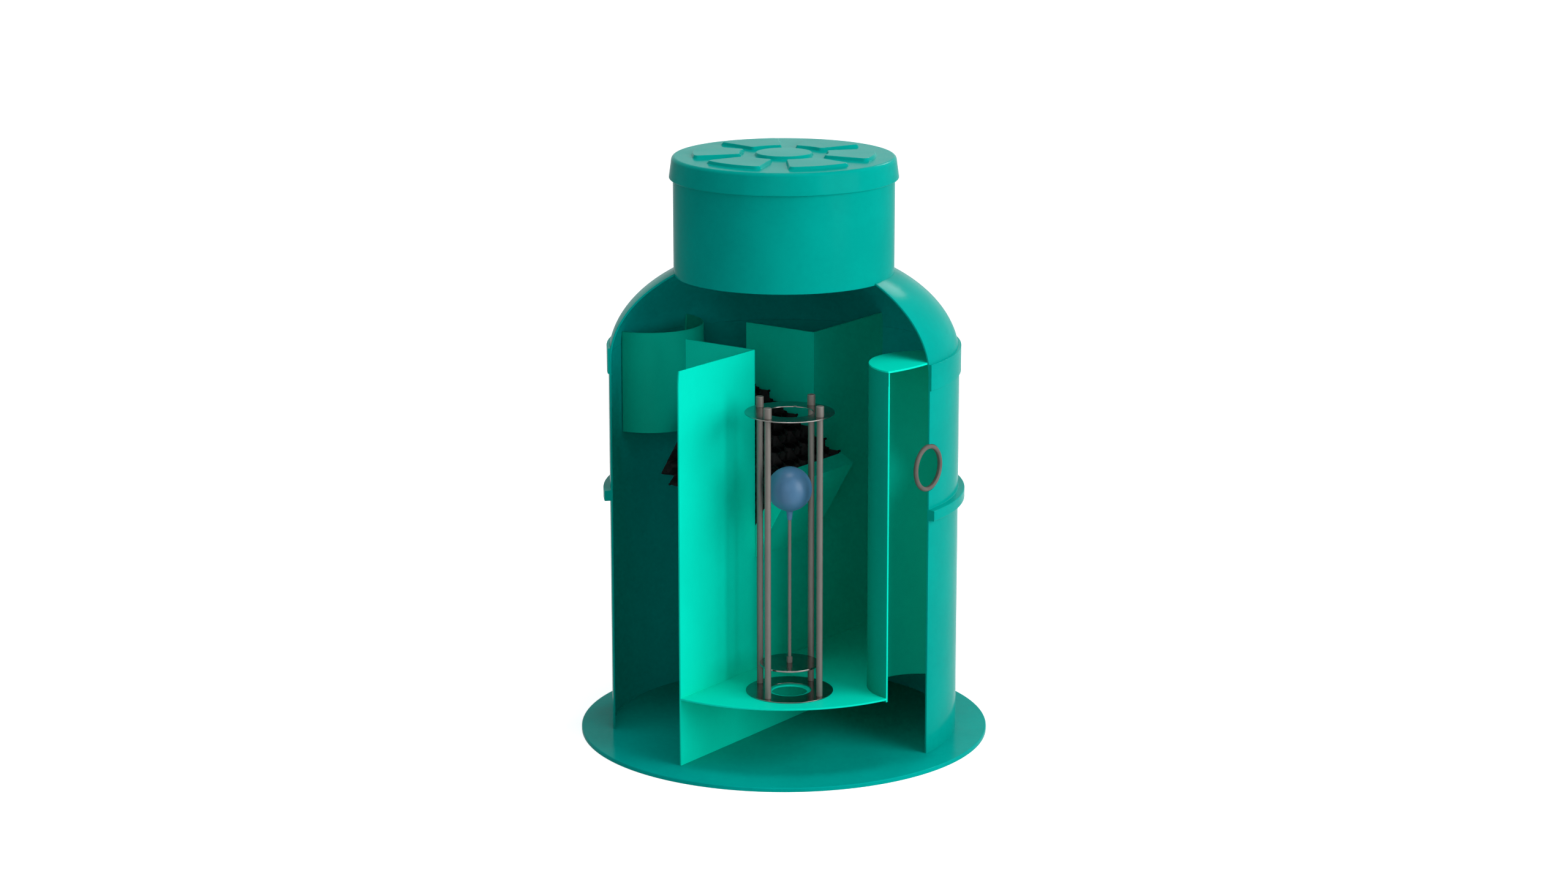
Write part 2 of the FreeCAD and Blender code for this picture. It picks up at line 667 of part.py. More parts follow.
def pieces():
    """All pieces by name."""
    parts = {"base_plate": base_plate()}
    parts.update(shell_panels())
    parts["dome_head"] = dome_head()
    parts["joint_band"] = joint_band()
    parts["shell_rib"] = shell_rib()
    parts["neck"] = neck()
    parts["cover"] = cover()
    parts["partition_wall"] = partition_wall()
    parts["bay_wall_front"] = bay_wall(-1)
    parts["bay_wall_rear"] = bay_wall(1)
    parts["coalescer_cradle"] = cradle()
    for i in range(PACK_SHEETS):
        parts[f"coalescer_sheet_{i + 1}"] = corrugated_sheet(i)
    parts["outlet_pocket"] = hood(1, POCKET_BOTTOM, PARTITION_TOP - PLATE_THICKNESS)
    parts["outlet_pocket_lid"] = pocket_lid()
    parts["inlet_deflector"] = hood(-1, DEFLECTOR_BOTTOM, PARTITION_TOP - PLATE_THICKNESS)
    parts["outlet_seal"] = pipe_seal(1, OUTLET_HEIGHT)
    parts["inlet_seal"] = pipe_seal(-1, INLET_HEIGHT)
    parts["valve_shelf"] = valve_shelf()
    parts["valve_base_ring"] = valve_base_ring()
    parts["valve_top_ring"] = valve_top_ring()
    for i, (x, y) in enumerate(column_places()):
        parts[f"guide_column_{i + 1}"] = guide_column(x, y)
    parts["column_caps"] = Part.makeCompound([column_cap(x, y) for x, y in column_places()])
    parts["valve_disc"] = valve_disc()
    parts["stem_nut"] = stem_nut()
    parts["float_stem"] = float_stem()
    parts["float_ball"] = float_ball()
    return parts


def main():
    os.makedirs("parts", exist_ok=True)
    for name, shape in pieces().items():
        shape.exportStep(f"parts/{name}.step")
        volume = shape.Volume / 1000
        print(f"{name:26s} solids {len(shape.Solids)}  {volume:10.1f} cm3  valid {shape.isValid()}")


main()
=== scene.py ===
"""Finish of an upright oil separator tank, drawn as a cutaway.

Green gelcoat shell, laminate chamber walls, black corrugated coalescer pack, and a float
valve in its steel cage. Lengths are metres in the tank's own frame: +Z up, +X to the outlet.
"""
import math

import bmesh
import bpy
from bpy.props import FloatProperty, FloatVectorProperty, IntProperty, PointerProperty
from mathutils import Matrix, Vector


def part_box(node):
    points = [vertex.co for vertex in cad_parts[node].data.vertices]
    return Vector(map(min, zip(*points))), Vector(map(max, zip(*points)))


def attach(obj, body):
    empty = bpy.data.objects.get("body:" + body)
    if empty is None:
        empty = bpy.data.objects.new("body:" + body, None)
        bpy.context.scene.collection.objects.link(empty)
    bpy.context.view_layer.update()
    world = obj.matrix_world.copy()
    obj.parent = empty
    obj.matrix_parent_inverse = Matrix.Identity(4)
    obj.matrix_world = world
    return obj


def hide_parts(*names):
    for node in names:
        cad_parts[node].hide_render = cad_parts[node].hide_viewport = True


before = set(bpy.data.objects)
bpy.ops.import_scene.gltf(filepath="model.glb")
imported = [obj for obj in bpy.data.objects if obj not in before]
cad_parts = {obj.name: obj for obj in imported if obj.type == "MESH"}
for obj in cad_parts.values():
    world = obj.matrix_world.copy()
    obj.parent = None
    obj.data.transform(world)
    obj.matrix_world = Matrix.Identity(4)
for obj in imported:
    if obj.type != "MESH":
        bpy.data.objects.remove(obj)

bl_info = {
    "name": "Oil separator finish",
    "version": (1, 0, 0),
    "blender": (4, 5, 0),
    "location": "View3D > Sidebar > Separator",
    "description": "Builds the visible pieces of an oil separator tank around its frame",
    "category": "Object",
}

TANK = "tank"
VALVE = "float_valve"
TURN = 2 * math.pi
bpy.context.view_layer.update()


# Places taken from the frame

def low(node):
    """Lowest corner of a frame node."""
    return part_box(node)[0]


def high(node):
    """Highest corner of a frame node."""
    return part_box(node)[1]


def middle(node):
    """Middle of a frame node's box."""
    return (low(node) + high(node)) / 2


SHELL_RADIUS = high("shell_wall_rear").y
SHELL_TOP = high("shell_wall_rear").z
BASE_TOP = high("base_plate").z
NECK_RADIUS = high("neck").x
NECK_TOP = high("neck").z
DOME_TOP = high("dome_head").z
DOME_RISE = (DOME_TOP - SHELL_TOP) / math.sqrt(1 - (NECK_RADIUS / SHELL_RADIUS) ** 2)
STANDING_SWEEP = math.radians(225)  # the shell goes round so far from +X; the rest is cut away
VALVE_AXIS = middle("valve_top_ring").to_2d()

# Small amounts that no size drives

OVERLAP = 0.0001      # how deep the band and the rib stand in the shell
SUNK = 0.0004         # how deep the raised shapes stand in the cover
FINE_ROUND = 0.0006   # rounding of the cover's inner lip and of the caps' feet
CUT_SPARE = 0.01      # how far a cutter goes past the plate
MERGE = 1e-6          # points this near are one
SHARP = math.radians(50)   # edges that turn more than this are edges
INWARD = 0.2          # faces that look at the axis more than this are inside
BEVEL_STEPS = 8       # steps up the side of a raised shape
DRILL_ENDS = (0.9, 1.1)  # reach of a seal's cutter, in shell radii
JOINT_SKIN = 0.00025  # how far the sill's joint stands before the cradle's foot
JOINT_DROP = 2.2      # reach of that joint below and above the foot, and its slope, in walls
JOINT_RISE = 0.6
JOINT_SLOPE = 0.2
NUT_POINTS = 36       # points round the nut
NUT_CHAMFER = 0.084   # height of its chamfer and radius of its face, in corner radii
NUT_FACE = 0.93


# Sizes and colours that a user may change

def setting(kind, **fixed):
    """Maker of the properties of one kind."""
    def make(name, default, description):
        return kind(name=name, default=default, description=description, **fixed)
    return make


length = setting(FloatProperty, min=0.0, unit="LENGTH")  # metres
offset = setting(FloatProperty, unit="LENGTH")           # metres, to either side
rotation = setting(FloatProperty, unit="ROTATION")       # radians
number = setting(IntProperty, min=3)                     # pieces in a ring
power = setting(FloatProperty, min=0.0)                  # watts
share = setting(FloatProperty, min=0.0, max=1.0, subtype="FACTOR")
colour = setting(FloatVectorProperty, min=0.0, max=1.0, size=3, subtype="COLOR")  # linear


class ShellSizes(bpy.types.PropertyGroup):
    wall: length("Wall", 0.005, "Thickness of shell, dome, neck and plates")
    edge_round: length("Edge round", 0.0008, "Rounding of cut laminate edges")
    base_round: length("Base round", 0.003, "Rounding of the base plate's upper rim")
    band_round: length("Band round", 0.001, "Rounding of the joint band's edges")
    rib_fall: length("Rib fall", 0.0015, "How far the rib's top falls to the outside")
    rib_round: length("Rib round", 0.0025, "Rounding of the rib's outer edges")
    rib_cove: length("Rib cove", 0.002, "Resin fillet in the corner above the rib")
    seal_room: length("Seal room", 0.0003, "Space round the ring seals in their holes")
    seal_bore: length("Seal bore", 0.0545, "Radius of the flat land that grips the pipe")


class CoverSizes(bpy.types.PropertyGroup):
    wall: length("Cover wall", 0.005, "Thickness of the cover's top")
    seat: length("Seat", 0.015, "Width of the seat on the neck's rim")
    clearance: length("Clearance", 0.0015, "Play between the skirt and the neck")
    shoulder: length("Shoulder radius", 0.316, "Radius of the cover's top before its rounding")
    shoulder_round: length("Shoulder round", 0.011, "Rounding between the skirt and the top")
    skirt_round: length("Skirt round", 0.0025, "Rounding of the skirt's lower edge")
    relief: length("Relief", 0.009, "Height of the raised pads")
    bevel: length("Bevel", 0.007, "Width of the pads' sloping sides")
    pad_inner: length("Pad inner radius", 0.120, "Inner radius of the ring of pads")
    pad_outer: length("Pad outer radius", 0.262, "Outer radius of the ring of pads")
    pad_corner: length("Pad corner", 0.014, "Rounding of a pad's corners in plan")
    pad_sweep: rotation("Pad sweep", math.radians(44), "Angle of one pad")
    pads: number("Pads", 6, "Number of sector pads")
    boss: length("Boss radius", 0.084, "Radius of the round boss in the middle")


class PackSizes(bpy.types.PropertyGroup):
    corner_x: offset("Corner X", -0.043, "Place of the pack's lowest corner along the tank")
    corner_z: length("Corner height", 0.556, "Height of the pack's lowest corner")
    tilt: rotation("Tilt", math.radians(30), "Slope of the pack")
    lean: rotation("Lean", math.radians(30), "Slant of the flutes across the sheet")
    span: length("Length", 0.347, "Length of the sheets along the slope")
    height: length("Height", 0.289, "Height of the sheets across the slope")
    pitch: length("Pitch", 0.0578, "Distance from flute to flute")
    sheet: length("Sheet", 0.0016, "Thickness of a sheet")
    gap: length("Gap", 0.0004, "Space between the crests of two sheets")
    tooth_height: length("Tooth height", 0.018, "Height of the toothed ends")
    tooth_rise: length("Tooth rise", 0.0116, "Length of a tooth's steep side")
    top_start: offset("Top start", -0.0038, "Where the upper teeth's first root lies")
    low_start: offset("Low start", -0.0416, "Where the lower teeth's first tip lies")
    nub: length("Nub radius", 0.0035, "Radius of the round nubs on the tooth tips")
    rib: length("Rib", 0.0030, "Height of the embossed cross ribs")


class ValveSizes(bpy.types.PropertyGroup):
    port: length("Port", 0.05, "Radius of the port in the shelf")
    ring_round: length("Ring round", 0.0007, "Rounding of the rings' rims")
    disc_round: length("Disc round", 0.00112, "Rounding of the disc's rim")
    base_bore: length("Base ring bore", 0.062, "Radius of the base ring's bore")
    top_bore: length("Top ring bore", 0.067, "Radius of the top ring's bore")
    notch_width: length("Notch width", 0.008, "Width of the small notch in the top ring's bore")
    notch_depth: length("Notch depth", 0.006, "Depth of the small notch in the top ring's bore")
    notch_turn: rotation("Notch turn", math.radians(113), "Direction of the notch from +X")
    columns: number("Columns", 4, "Number of guide columns")
    column: length("Column radius", 0.009, "Radius of the guide columns")
    column_round: length("Column round", 0.0008, "Rounding of the columns' ends")
    cap: length("Cap radius", 0.01125, "Radius of the caps on the columns")
    cap_round: length("Cap round", 0.0022, "Rounding of the caps' crowns")
    neck: length("Float neck", 0.00875, "Radius of the float's neck")
    neck_foot: length("Float neck foot", 0.007, "Radius at the neck's lower end")
    neck_blend: length("Float blend", 0.009, "Radius of the blend between ball and neck")


class FinishLook(bpy.types.PropertyGroup):
    gelcoat: colour("Gelcoat", (0.0, 0.357, 0.303), "Outside of the tank")
    gelcoat_deep: colour("Gelcoat, deep", (0.0, 0.327, 0.278), "Thicker spots of the gelcoat")
    # Base colours: the gelcoat made paler, painted light on the plate's upward face
    base: colour("Base", (0.0, 0.385, 0.335), "Base plate")
    base_deep: colour("Base, deep", (0.0, 0.350, 0.305), "Thicker spots of the base plate")
    # Inside colours: paler and bluer than the outside's, painted light that stands in for light
    # inside the tank
    inside: colour("Inside", (0.0, 0.52, 0.50), "Inside of the shell, the dome and the neck")
    inside_deep: colour("Inside, deep", (0.0, 0.48, 0.46), "Thicker spots inside the shell")
    laminate: colour("Laminate", (0.0, 0.775, 0.565), "Chamber walls")
    laminate_deep: colour("Laminate, deep", (0.0, 0.727, 0.530), "Thicker spots of the walls")
    steel: colour("Steel", (0.200, 0.186, 0.170), "Columns, caps, nut and stem")
    ring_steel: colour("Ring steel", (0.30, 0.285, 0.27), "Rings and disc")
    rubber: colour("Rubber", (0.088, 0.074, 0.064), "Ring seals")
    sheet: colour("Sheet", (0.0065, 0.0065, 0.0065), "Coalescer sheets")
    float_blue: colour("Float", (0.055, 0.160, 0.292), "Ball float")
    # Pocket and deflector shares darken the plates' laminate: painted shade
    pocket_depth: share("Pocket depth", 0.45, "Tone of the outlet pocket against the plates")
    deflector_depth: share("Deflector depth", 0.68, "Tone of the deflector against the plates")
    gelcoat_roughness: share("Gelcoat roughness", 0.17, "Roughness of the gelcoat")
    laminate_roughness: share("Laminate roughness", 0.42, "Roughness of the chamber walls")


class StudioLook(bpy.types.PropertyGroup):
    floor_glow: share("Floor glow", 0.66, "Share of the floor's white that shadows leave")
    floor_mirrored: share("Mirrored floor", 0.4, "Share of that glow that reflections see")
    ambient: share("Ambient", 0.29, "Strength of the even light from all round")
    ambient_tint: colour("Ambient tint", (0.90, 0.96, 1.0), "Cool colour of the even light")
    key_light: power("Key", 200.0, "Power of the main light in watts")
    back_light: power("Back", 36.0, "Power of the light behind in watts")
    fill_light: power("Fill", 36.0, "Power of the front light in watts")
    top_light: power("Top", 92.0, "Power of the light overhead in watts")
    lens: FloatProperty(
        name="Lens", description="Focal length in millimetres", default=80.717, min=1.0
    )


# Node trees: one wrapper for sockets and one for trees

def arithmetic(operation, reflected=False):
    """Operator that adds a Math node; its reflected form swaps the two values."""
    def method(wire, other):
        values = (other, wire) if reflected else (wire, other)
        return wire.graph.math(operation, *values)
    return method


class Wire:
    """Value of a socket. Plain arithmetic on it adds Math nodes to its tree."""

    def __init__(self, graph, socket):
        self.graph = graph
        self.socket = socket

    def math(self, operation, *others):
        return self.graph.math(operation, self, *others)

    __add__, __radd__ = arithmetic("ADD"), arithmetic("ADD", True)
    __sub__, __rsub__ = arithmetic("SUBTRACT"), arithmetic("SUBTRACT", True)
    __mul__, __rmul__ = arithmetic("MULTIPLY"), arithmetic("MULTIPLY", True)
    __truediv__, __rtruediv__ = arithmetic("DIVIDE"), arithmetic("DIVIDE", True)


class Graph:
    """A node tree being built."""

    def __init__(self, tree):
        self.tree = tree

    @staticmethod
    def pick(sockets, key):
        """Socket by its place, identifier or name."""
        if isinstance(key, int):
            return sockets[key]
        for socket in sockets:
            if socket.identifier == key:
                return socket
        return sockets[key]

    def node(self, kind, inputs=None, **settings):
        """Adds a node, sets it up, feeds its sockets and gives a reader for its outputs."""
        node = self.tree.nodes.new(kind)
        for name, value in settings.items():
            setattr(node, name, value)
        for name, value in (inputs or {}).items():
            self.feed(self.pick(node.inputs, name), value)
        return lambda key=0: Wire(self, self.pick(node.outputs, key))

    def feed(self, socket, value):
        """Links a wire or a list of wires, or sets a plain value."""
        for one in value if isinstance(value, list) else [value]:
            if isinstance(one, Wire):
                self.tree.links.new(one.socket, socket)
            else:
                socket.default_value = one

    def math(self, operation, *values):
        return self.node("ShaderNodeMath", dict(enumerate(values)), operation=operation)()

    def tones(self, value, low_end, high_end, first, second):
        """Colour that goes from the first to the second as a value goes between its ends."""
        factor = self.spread(value, low_end, high_end)
        inputs = {"Factor_Float": factor, "A_Color": first, "B_Color": second}
        mix = self.node("ShaderNodeMix", inputs, data_type="RGBA", clamp_factor=True)
        return mix("Result_Color")

    def place(self, scale=(1, 1, 1), centre=(0, 0, 0)):
        """Object coordinates, moved and scaled."""
        spot = self.node("ShaderNodeTexCoord")("Object")
        inputs = {"Vector": spot, "Location": centre}
        shift = self.node("ShaderNodeMapping", inputs, vector_type="TEXTURE")()
        return self.node("ShaderNodeVectorMath", {0: shift, 1: scale}, operation="MULTIPLY")()

    def noise(self, vector, scale, detail=2.0, roughness=0.5):
        """Noise value about 0.5."""
        inputs = {"Vector": vector, "Scale": scale, "Detail": detail, "Roughness": roughness}
        return self.node("ShaderNodeTexNoise", inputs)(0)

    def spread(self, value, low_end, high_end, to_low=0.0, to_high=1.0):
        """Value carried from one range to another, and held at its ends."""
        inputs = {"Value": value, 1: low_end, 2: high_end, 3: to_low, 4: to_high}
        return self.node("ShaderNodeMapRange", inputs, clamp=True)()

    def bump(self, height, distance, under=None):
        """Normal of a relief; height is 0 to 1 and distance its depth in metres."""
        inputs = {"Height": height, "Distance": distance, "Strength": 1.0}
        if under is not None:
            inputs["Normal"] = under
        return self.node("ShaderNodeBump", inputs)()


# Finishes

def shade(values, factor=1.0):
    """Colour with its alpha, made darker or paler by a factor."""
    return (*(factor * value for value in values), 1.0)


def fresh_graph(owner):
    """Empty graph of a new material or world."""
    owner.use_nodes = True
    owner.node_tree.nodes.clear()
    return Graph(owner.node_tree)


def as_material(paint):
    """Turns a function that gives the main shader's inputs into a maker of materials."""
    def make(look, name=paint.__name__, *options):
        made = bpy.data.materials.get(name)
        if made:
            return made
        made = bpy.data.materials.new(name)
        g = fresh_graph(made)
        shader = g.node("ShaderNodeBsdfPrincipled", paint(g, look, *options))
        g.node("ShaderNodeOutputMaterial", {"Surface": shader("BSDF")})
        return made
    return make


@as_material
def shell_gelcoat(g, look, tone="gelcoat"):
    """Glossy gelcoat: mottling, orange peel and faint waves of the laminate under it."""
    clear, deep = shade(getattr(look, tone)), shade(getattr(look, tone + "_deep"))
    spot = g.place()
    cloud = g.noise(spot, 5.0, 3.0)
    fine = g.noise(spot, 60.0, 2.0)
    peel = g.bump(g.noise(spot, 420.0, 1.0), 0.00006)
    return {
        "Base Color": g.tones(cloud * 0.75 + fine * 0.25, 0.38, 0.62, deep, clear),
        "Roughness": look.gelcoat_roughness + (fine - 0.5) * 0.10,
        "Normal": g.bump(g.noise(spot, 9.0, 1.0), 0.0011, peel),
        "Specular IOR Level": 0.008,
    }


@as_material
def chamber_laminate(g, look, depth=1.0):
    """Smooth laminate plate: faint strands under the resin and mottling; depth darkens the whole
    plate as painted shade, and 1 leaves it as it is.
    """
    clear, deep = shade(look.laminate, depth), shade(look.laminate_deep, depth)
    spot = g.place()
    cloud = g.noise(spot, 4.0, 3.0)
    strands = g.noise(g.place((1.0, 1.0, 0.35)), 190.0, 2.0, 0.65)
    relief = g.bump(strands, 0.00008)
    return {
        "Base Color": g.tones(cloud * 0.8 + strands * 0.2, 0.36, 0.64, deep, clear),
        "Roughness": look.laminate_roughness + (strands - 0.5) * 0.12,
        "Normal": g.bump(g.noise(spot, 11.0, 1.0), 0.0007, relief),
        "Specular IOR Level": 0.03,
    }


@as_material
def brushed_steel(g, look):
    """Dark drawn steel: lengthwise grain and small specks."""
    grain = g.noise(g.place((1.0, 1.0, 0.02)), 1500.0, 2.0, 0.6)
    specks = g.noise(g.place(), 700.0, 2.0, 0.7)
    dull = g.noise(g.place(), 14.0, 2.0)
    mark = grain * 0.5 + specks * 0.3 + dull * 0.2
    return {
        "Base Color": g.tones(mark, 0.36, 0.64, shade(look.steel, 0.72), shade(look.steel)),
        "Metallic": 0.6,
        "Roughness": 0.58 + (specks - 0.5) * 0.25,
        "Normal": g.bump(grain * 0.6 + specks * 0.4, 0.00005),
    }


@as_material
def polished_steel(g, look):
    """Dark smooth plate steel of the rings and the disc, with faint turning marks."""
    steel = look.ring_steel
    spot = g.place(centre=(*VALVE_AXIS, 0.0))
    wave = {"Vector": spot, "Scale": 260.0, "Distortion": 1.2, "Detail": 1.0}
    marks = g.node("ShaderNodeTexWave", wave, wave_type="RINGS", rings_direction="Z")("Fac")
    haze = g.noise(spot, 26.0, 3.0)
    return {
        "Base Color": g.tones(haze, 0.35, 0.65, shade(steel, 0.8), shade(steel)),
        "Metallic": 1.0,
        "Roughness": g.spread(haze * 0.7 + marks * 0.3, 0.3, 0.7, 0.14, 0.24),
        "Normal": g.bump(marks, 0.000006),
    }


@as_material
def seal_rubber(g, look):
    """Matt rubber with a fine skin and a little chalk."""
    skin = g.noise(g.place(), 900.0, 2.0, 0.6)
    chalk = g.noise(g.place(), 45.0, 3.0, 0.6)
    return {
        "Base Color": g.tones(chalk, 0.35, 0.7, shade(look.rubber), shade(look.rubber, 1.25)),
        "Roughness": 0.58 + (chalk - 0.5) * 0.2,
        "Normal": g.bump(skin, 0.00007),
        "Specular IOR Level": 0.4,
    }


@as_material
def black_sheet(g, look):
    """Black moulded sheet: fine grain and a thin film that dulls it in patches."""
    grain = g.noise(g.place(), 520.0, 2.0, 0.6)
    film = g.noise(g.place(), 30.0, 3.0, 0.6)
    return {
        "Base Color": g.tones(film, 0.4, 0.7, shade(look.sheet), shade(look.sheet, 2.2)),
        "Roughness": 0.62 + (film - 0.5) * 0.3,
        "Normal": g.bump(grain, 0.00012),
        "Specular IOR Level": 0.16,
    }


@as_material
def blown_float(g, look):
    """Blue blown plastic: satin skin, faint flow marks."""
    blue = look.float_blue
    flow = g.noise(g.place((1.0, 1.0, 0.4)), 34.0, 3.0, 0.55)
    skin = g.noise(g.place(), 620.0, 1.0)
    return {
        "Base Color": g.tones(flow, 0.35, 0.65, shade(blue), shade(blue, 1.12)),
        "Roughness": 0.42 + (flow - 0.5) * 0.1,
        "Normal": g.bump(skin, 0.00005),
        "Specular IOR Level": 0.4,
    }


# Outlines

def rounded(corners, segments=5):
    """Closed outline from (x, y, radius) corners, each turned into an arc of that radius."""
    outline = []
    for i, (x, y, radius) in enumerate(corners):
        if radius <= 0:
            outline.append((x, y))
            continue
        here = Vector((x, y))
        before = (Vector(corners[i - 1][:2]) - here).normalized()
        after = (Vector(corners[(i + 1) % len(corners)][:2]) - here).normalized()
        half = before.angle(after) / 2
        centre = here + (before + after).normalized() * radius / math.sin(half)
        first = here + before * radius / math.tan(half) - centre
        last = here + after * radius / math.tan(half) - centre
        start = math.atan2(first.y, first.x)
        swing = math.remainder(math.atan2(last.y, last.x) - start, TURN)
        outline += arc(radius, start, start + swing, segments, centre)
    return outline


def arc(radius, start, end, steps, centre=(0.0, 0.0)):
    """Points on a circle from one angle to another."""
    points = []
    for i in range(steps + 1):
        angle = start + (end - start) * i / steps
        points.append((centre[0] + radius * math.cos(angle), centre[1] + radius * math.sin(angle)))
    return points


def circle(radius, count, centre=(0.0, 0.0)):
    """Closed outline of a circle."""
    return arc(radius, 0.0, TURN * (count - 1) / count, count - 1, centre)


def rod_profile(radius, bottom, top, foot_round=0.0, head_round=0.0, segments=5):
    """Half section of a round solid with rounded rims."""
    return rounded([
        (0.0, bottom, 0), (radius, bottom, foot_round), (radius, top, head_round), (0.0, top, 0),
    ], segments)


def ring_profile(inner, outer, bottom, top, soft, segments):
    """Section of a flat or upright ring with rounded edges."""
    return rounded([
        (inner, bottom, soft), (outer, bottom, soft), (outer, top, soft), (inner, top, soft),
    ], segments)


def level(outline, z):
    """Plan outline at a height."""
    return [(x, y, z) for x, y in outline]


def divided(outline, longest, parts):
    """Outline whose stretches above a length are each divided into parts."""
    full = []
    for i, here in enumerate(outline):
        there = outline[(i + 1) % len(outline)]
        pieces = parts if math.dist(here, there) > longest else 1
        for k in range(pieces):
            full.append(tuple(a + (b - a) * k / pieces for a, b in zip(here, there)))
    return full


# Meshes

def add_object(name, data):
    """New object at the scene's origin."""
    made = bpy.data.objects.new(name, data)
    bpy.context.scene.collection.objects.link(made)
    return made


def new_piece(name, points, faces):
    """Object from points and faces, with doubles merged and faces turned outwards."""
    mesh = bpy.data.meshes.new(name)
    mesh.from_pydata(points, [], faces)
    work = bmesh.new()
    work.from_mesh(mesh)
    bmesh.ops.remove_doubles(work, verts=work.verts, dist=MERGE)
    bmesh.ops.recalc_face_normals(work, faces=work.faces)
    work.to_mesh(mesh)
    work.free()
    return add_object(name, mesh)


def lathe(name, profile, sweep=TURN, centre=(0.0, 0.0), steps=None):
    """Ring turned about an upright axis from a closed profile of (radius, height) points."""
    steps = steps or max(24, round(math.degrees(sweep)))
    whole = sweep >= TURN
    columns = steps if whole else steps + 1
    count = len(profile)
    points = []
    for i in range(columns):
        angle = sweep * i / steps
        for r, z in profile:
            points.append((centre[0] + r * math.cos(angle), centre[1] + r * math.sin(angle), z))
    faces = []
    for i in range(steps):
        here = i * count
        there = (i + 1) % columns * count
        for j in range(count):
            k = (j + 1) % count
            faces.append((here + j, there + j, there + k, here + k))
    if not whole:
        faces.append(tuple(range(count)))
        faces.append(tuple(range(steps * count, columns * count)))
    return new_piece(name, points, faces)


def stack(name, outlines):
    """Closed solid through a pile of outlines with equally many points, as 3D points."""
    count = len(outlines[0])
    points = [point for outline in outlines for point in outline]
    faces = []
    for i in range(len(outlines) - 1):
        here, there = i * count, (i + 1) * count
        for j in range(count):
            k = (j + 1) % count
            faces.append((here + j, here + k, there + k, there + j))
    faces.append(tuple(range(count)))
    faces.append(tuple(range((len(outlines) - 1) * count, len(outlines) * count)))
    return new_piece(name, points, faces)


def slab(name, outline, bottom, top):
    """Solid between two heights with one plan outline."""
    return stack(name, [level(outline, bottom), level(outline, top)])


def settle(piece):
    """Turns the piece and its modifiers into one plain mesh."""
    finished = piece.evaluated_get(bpy.context.evaluated_depsgraph_get())
    mesh = bpy.data.meshes.new_from_object(finished)
    old = piece.data
    piece.modifiers.clear()
    piece.data = mesh
    bpy.data.meshes.remove(old)
    mesh.name = piece.name
    return piece


def carve(piece, cutters):
    """Takes the cutters out of the piece."""
    for cutter in cutters:
        cut = piece.modifiers.new("cut", "BOOLEAN")
        cut.object = cutter
        cut.operation = "DIFFERENCE"
        cut.solver = "EXACT"
    settle(piece)
    for cutter in cutters:
        bpy.data.objects.remove(cutter)
    return piece


def soften(piece, width=0.0):
    """Rounds sharp edges by a small width and evens the shading of flat and curved faces."""
    piece.data.shade_smooth()
    if width > 0:
        bevel = piece.modifiers.new("edge", "BEVEL")
        bevel.width = width
        bevel.segments = 2
        bevel.limit_method = "ANGLE"
        bevel.angle_limit = SHARP
        bevel.use_clamp_overlap = True
    else:
        piece.data.set_sharp_from_angle(angle=SHARP)
    even = piece.modifiers.new("shading", "WEIGHTED_NORMAL")
    even.keep_sharp = True
    return settle(piece)


def dressed_copy(node, name, width):
    """Copy of a frame node with merged corners, whole faces and softened edges."""
    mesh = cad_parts[node].data.copy()
    mesh.materials.clear()
    work = bmesh.new()
    work.from_mesh(mesh)
    bmesh.ops.remove_doubles(work, verts=work.verts, dist=MERGE)
    bmesh.ops.dissolve_limit(
        work, angle_limit=math.radians(1), verts=work.verts, edges=work.edges
    )
    work.to_mesh(mesh)
    work.free()
    while mesh.uv_layers:
        mesh.uv_layers.remove(mesh.uv_layers[0])
    return soften(add_object(name, mesh), width)


def joined(name, pieces):
    """One piece from several."""
    work = bmesh.new()
    for piece in pieces:
        work.from_mesh(piece.data)
    mesh = bpy.data.meshes.new(name)
    work.to_mesh(mesh)
    work.free()
    for piece in pieces:
        bpy.data.objects.remove(piece)
    return add_object(name, mesh)


def fit(piece, finish, slot, body, *nodes):
    """Gives the piece its finish and its place in the frame."""
    piece.data.materials.clear()
    piece.data.materials.append(finish)
    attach(piece, body)
    if nodes:
        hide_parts(*nodes)
    return piece


def turned_inward(face, axis=(0.0, 0.0)):
    """How straight a face looks at an upright axis: 1 at it, 0 past it."""
    away = face.center.to_2d() - Vector(axis)
    return -face.normal.to_2d().dot(away) / away.length if away.length else 0.0


def line_inside(piece, finish):
    """Gives the faces that look towards the tank's axis a finish of their own; it is given the
    paler, bluer inside finish, which is painted light.
    """
    piece.data.materials.append(finish)
    for face in piece.data.polygons:
        if turned_inward(face) > INWARD:
            face.material_index = 1


# Geometry Nodes

FLOAT_SOCKET = "NodeSocketFloat"
VECTOR_SOCKET = "NodeSocketVector"
INT_SOCKET = "NodeSocketInt"
SHAPE_SOCKET = "NodeSocketGeometry"


def geometry_tree(name, inputs, finish, build):
    """Tree with named inputs, made once, that ends in real geometry with its material.

    build gets the tree's graph and a reader of its inputs, and gives the geometry's wire.
    """
    tree = bpy.data.node_groups.get(name)
    if tree:
        return tree
    tree = bpy.data.node_groups.new(name, "GeometryNodeTree")
    tree.interface.new_socket("Geometry", in_out="OUTPUT", socket_type=SHAPE_SOCKET)
    for label, kind in {"Geometry": SHAPE_SOCKET, **inputs}.items():
        tree.interface.new_socket(label, in_out="INPUT", socket_type=kind)
    g = Graph(tree)
    shape = build(g, g.node("NodeGroupInput"))
    real = g.node("GeometryNodeRealizeInstances", {"Geometry": shape})()
    painted = g.node("GeometryNodeSetMaterial", {"Geometry": real, "Material": finish})()
    g.node("NodeGroupOutput", {"Geometry": painted})
    return tree


def grow(piece, tree, values):
    """Puts a geometry tree on the piece, with values for its named inputs."""
    step = piece.modifiers.new("rule", "NODES")
    step.node_group = tree
    for item in tree.interface.items_tree:
        if item.in_out == "INPUT" and item.name in values:
            step[item.identifier] = values[item.name]
    return piece


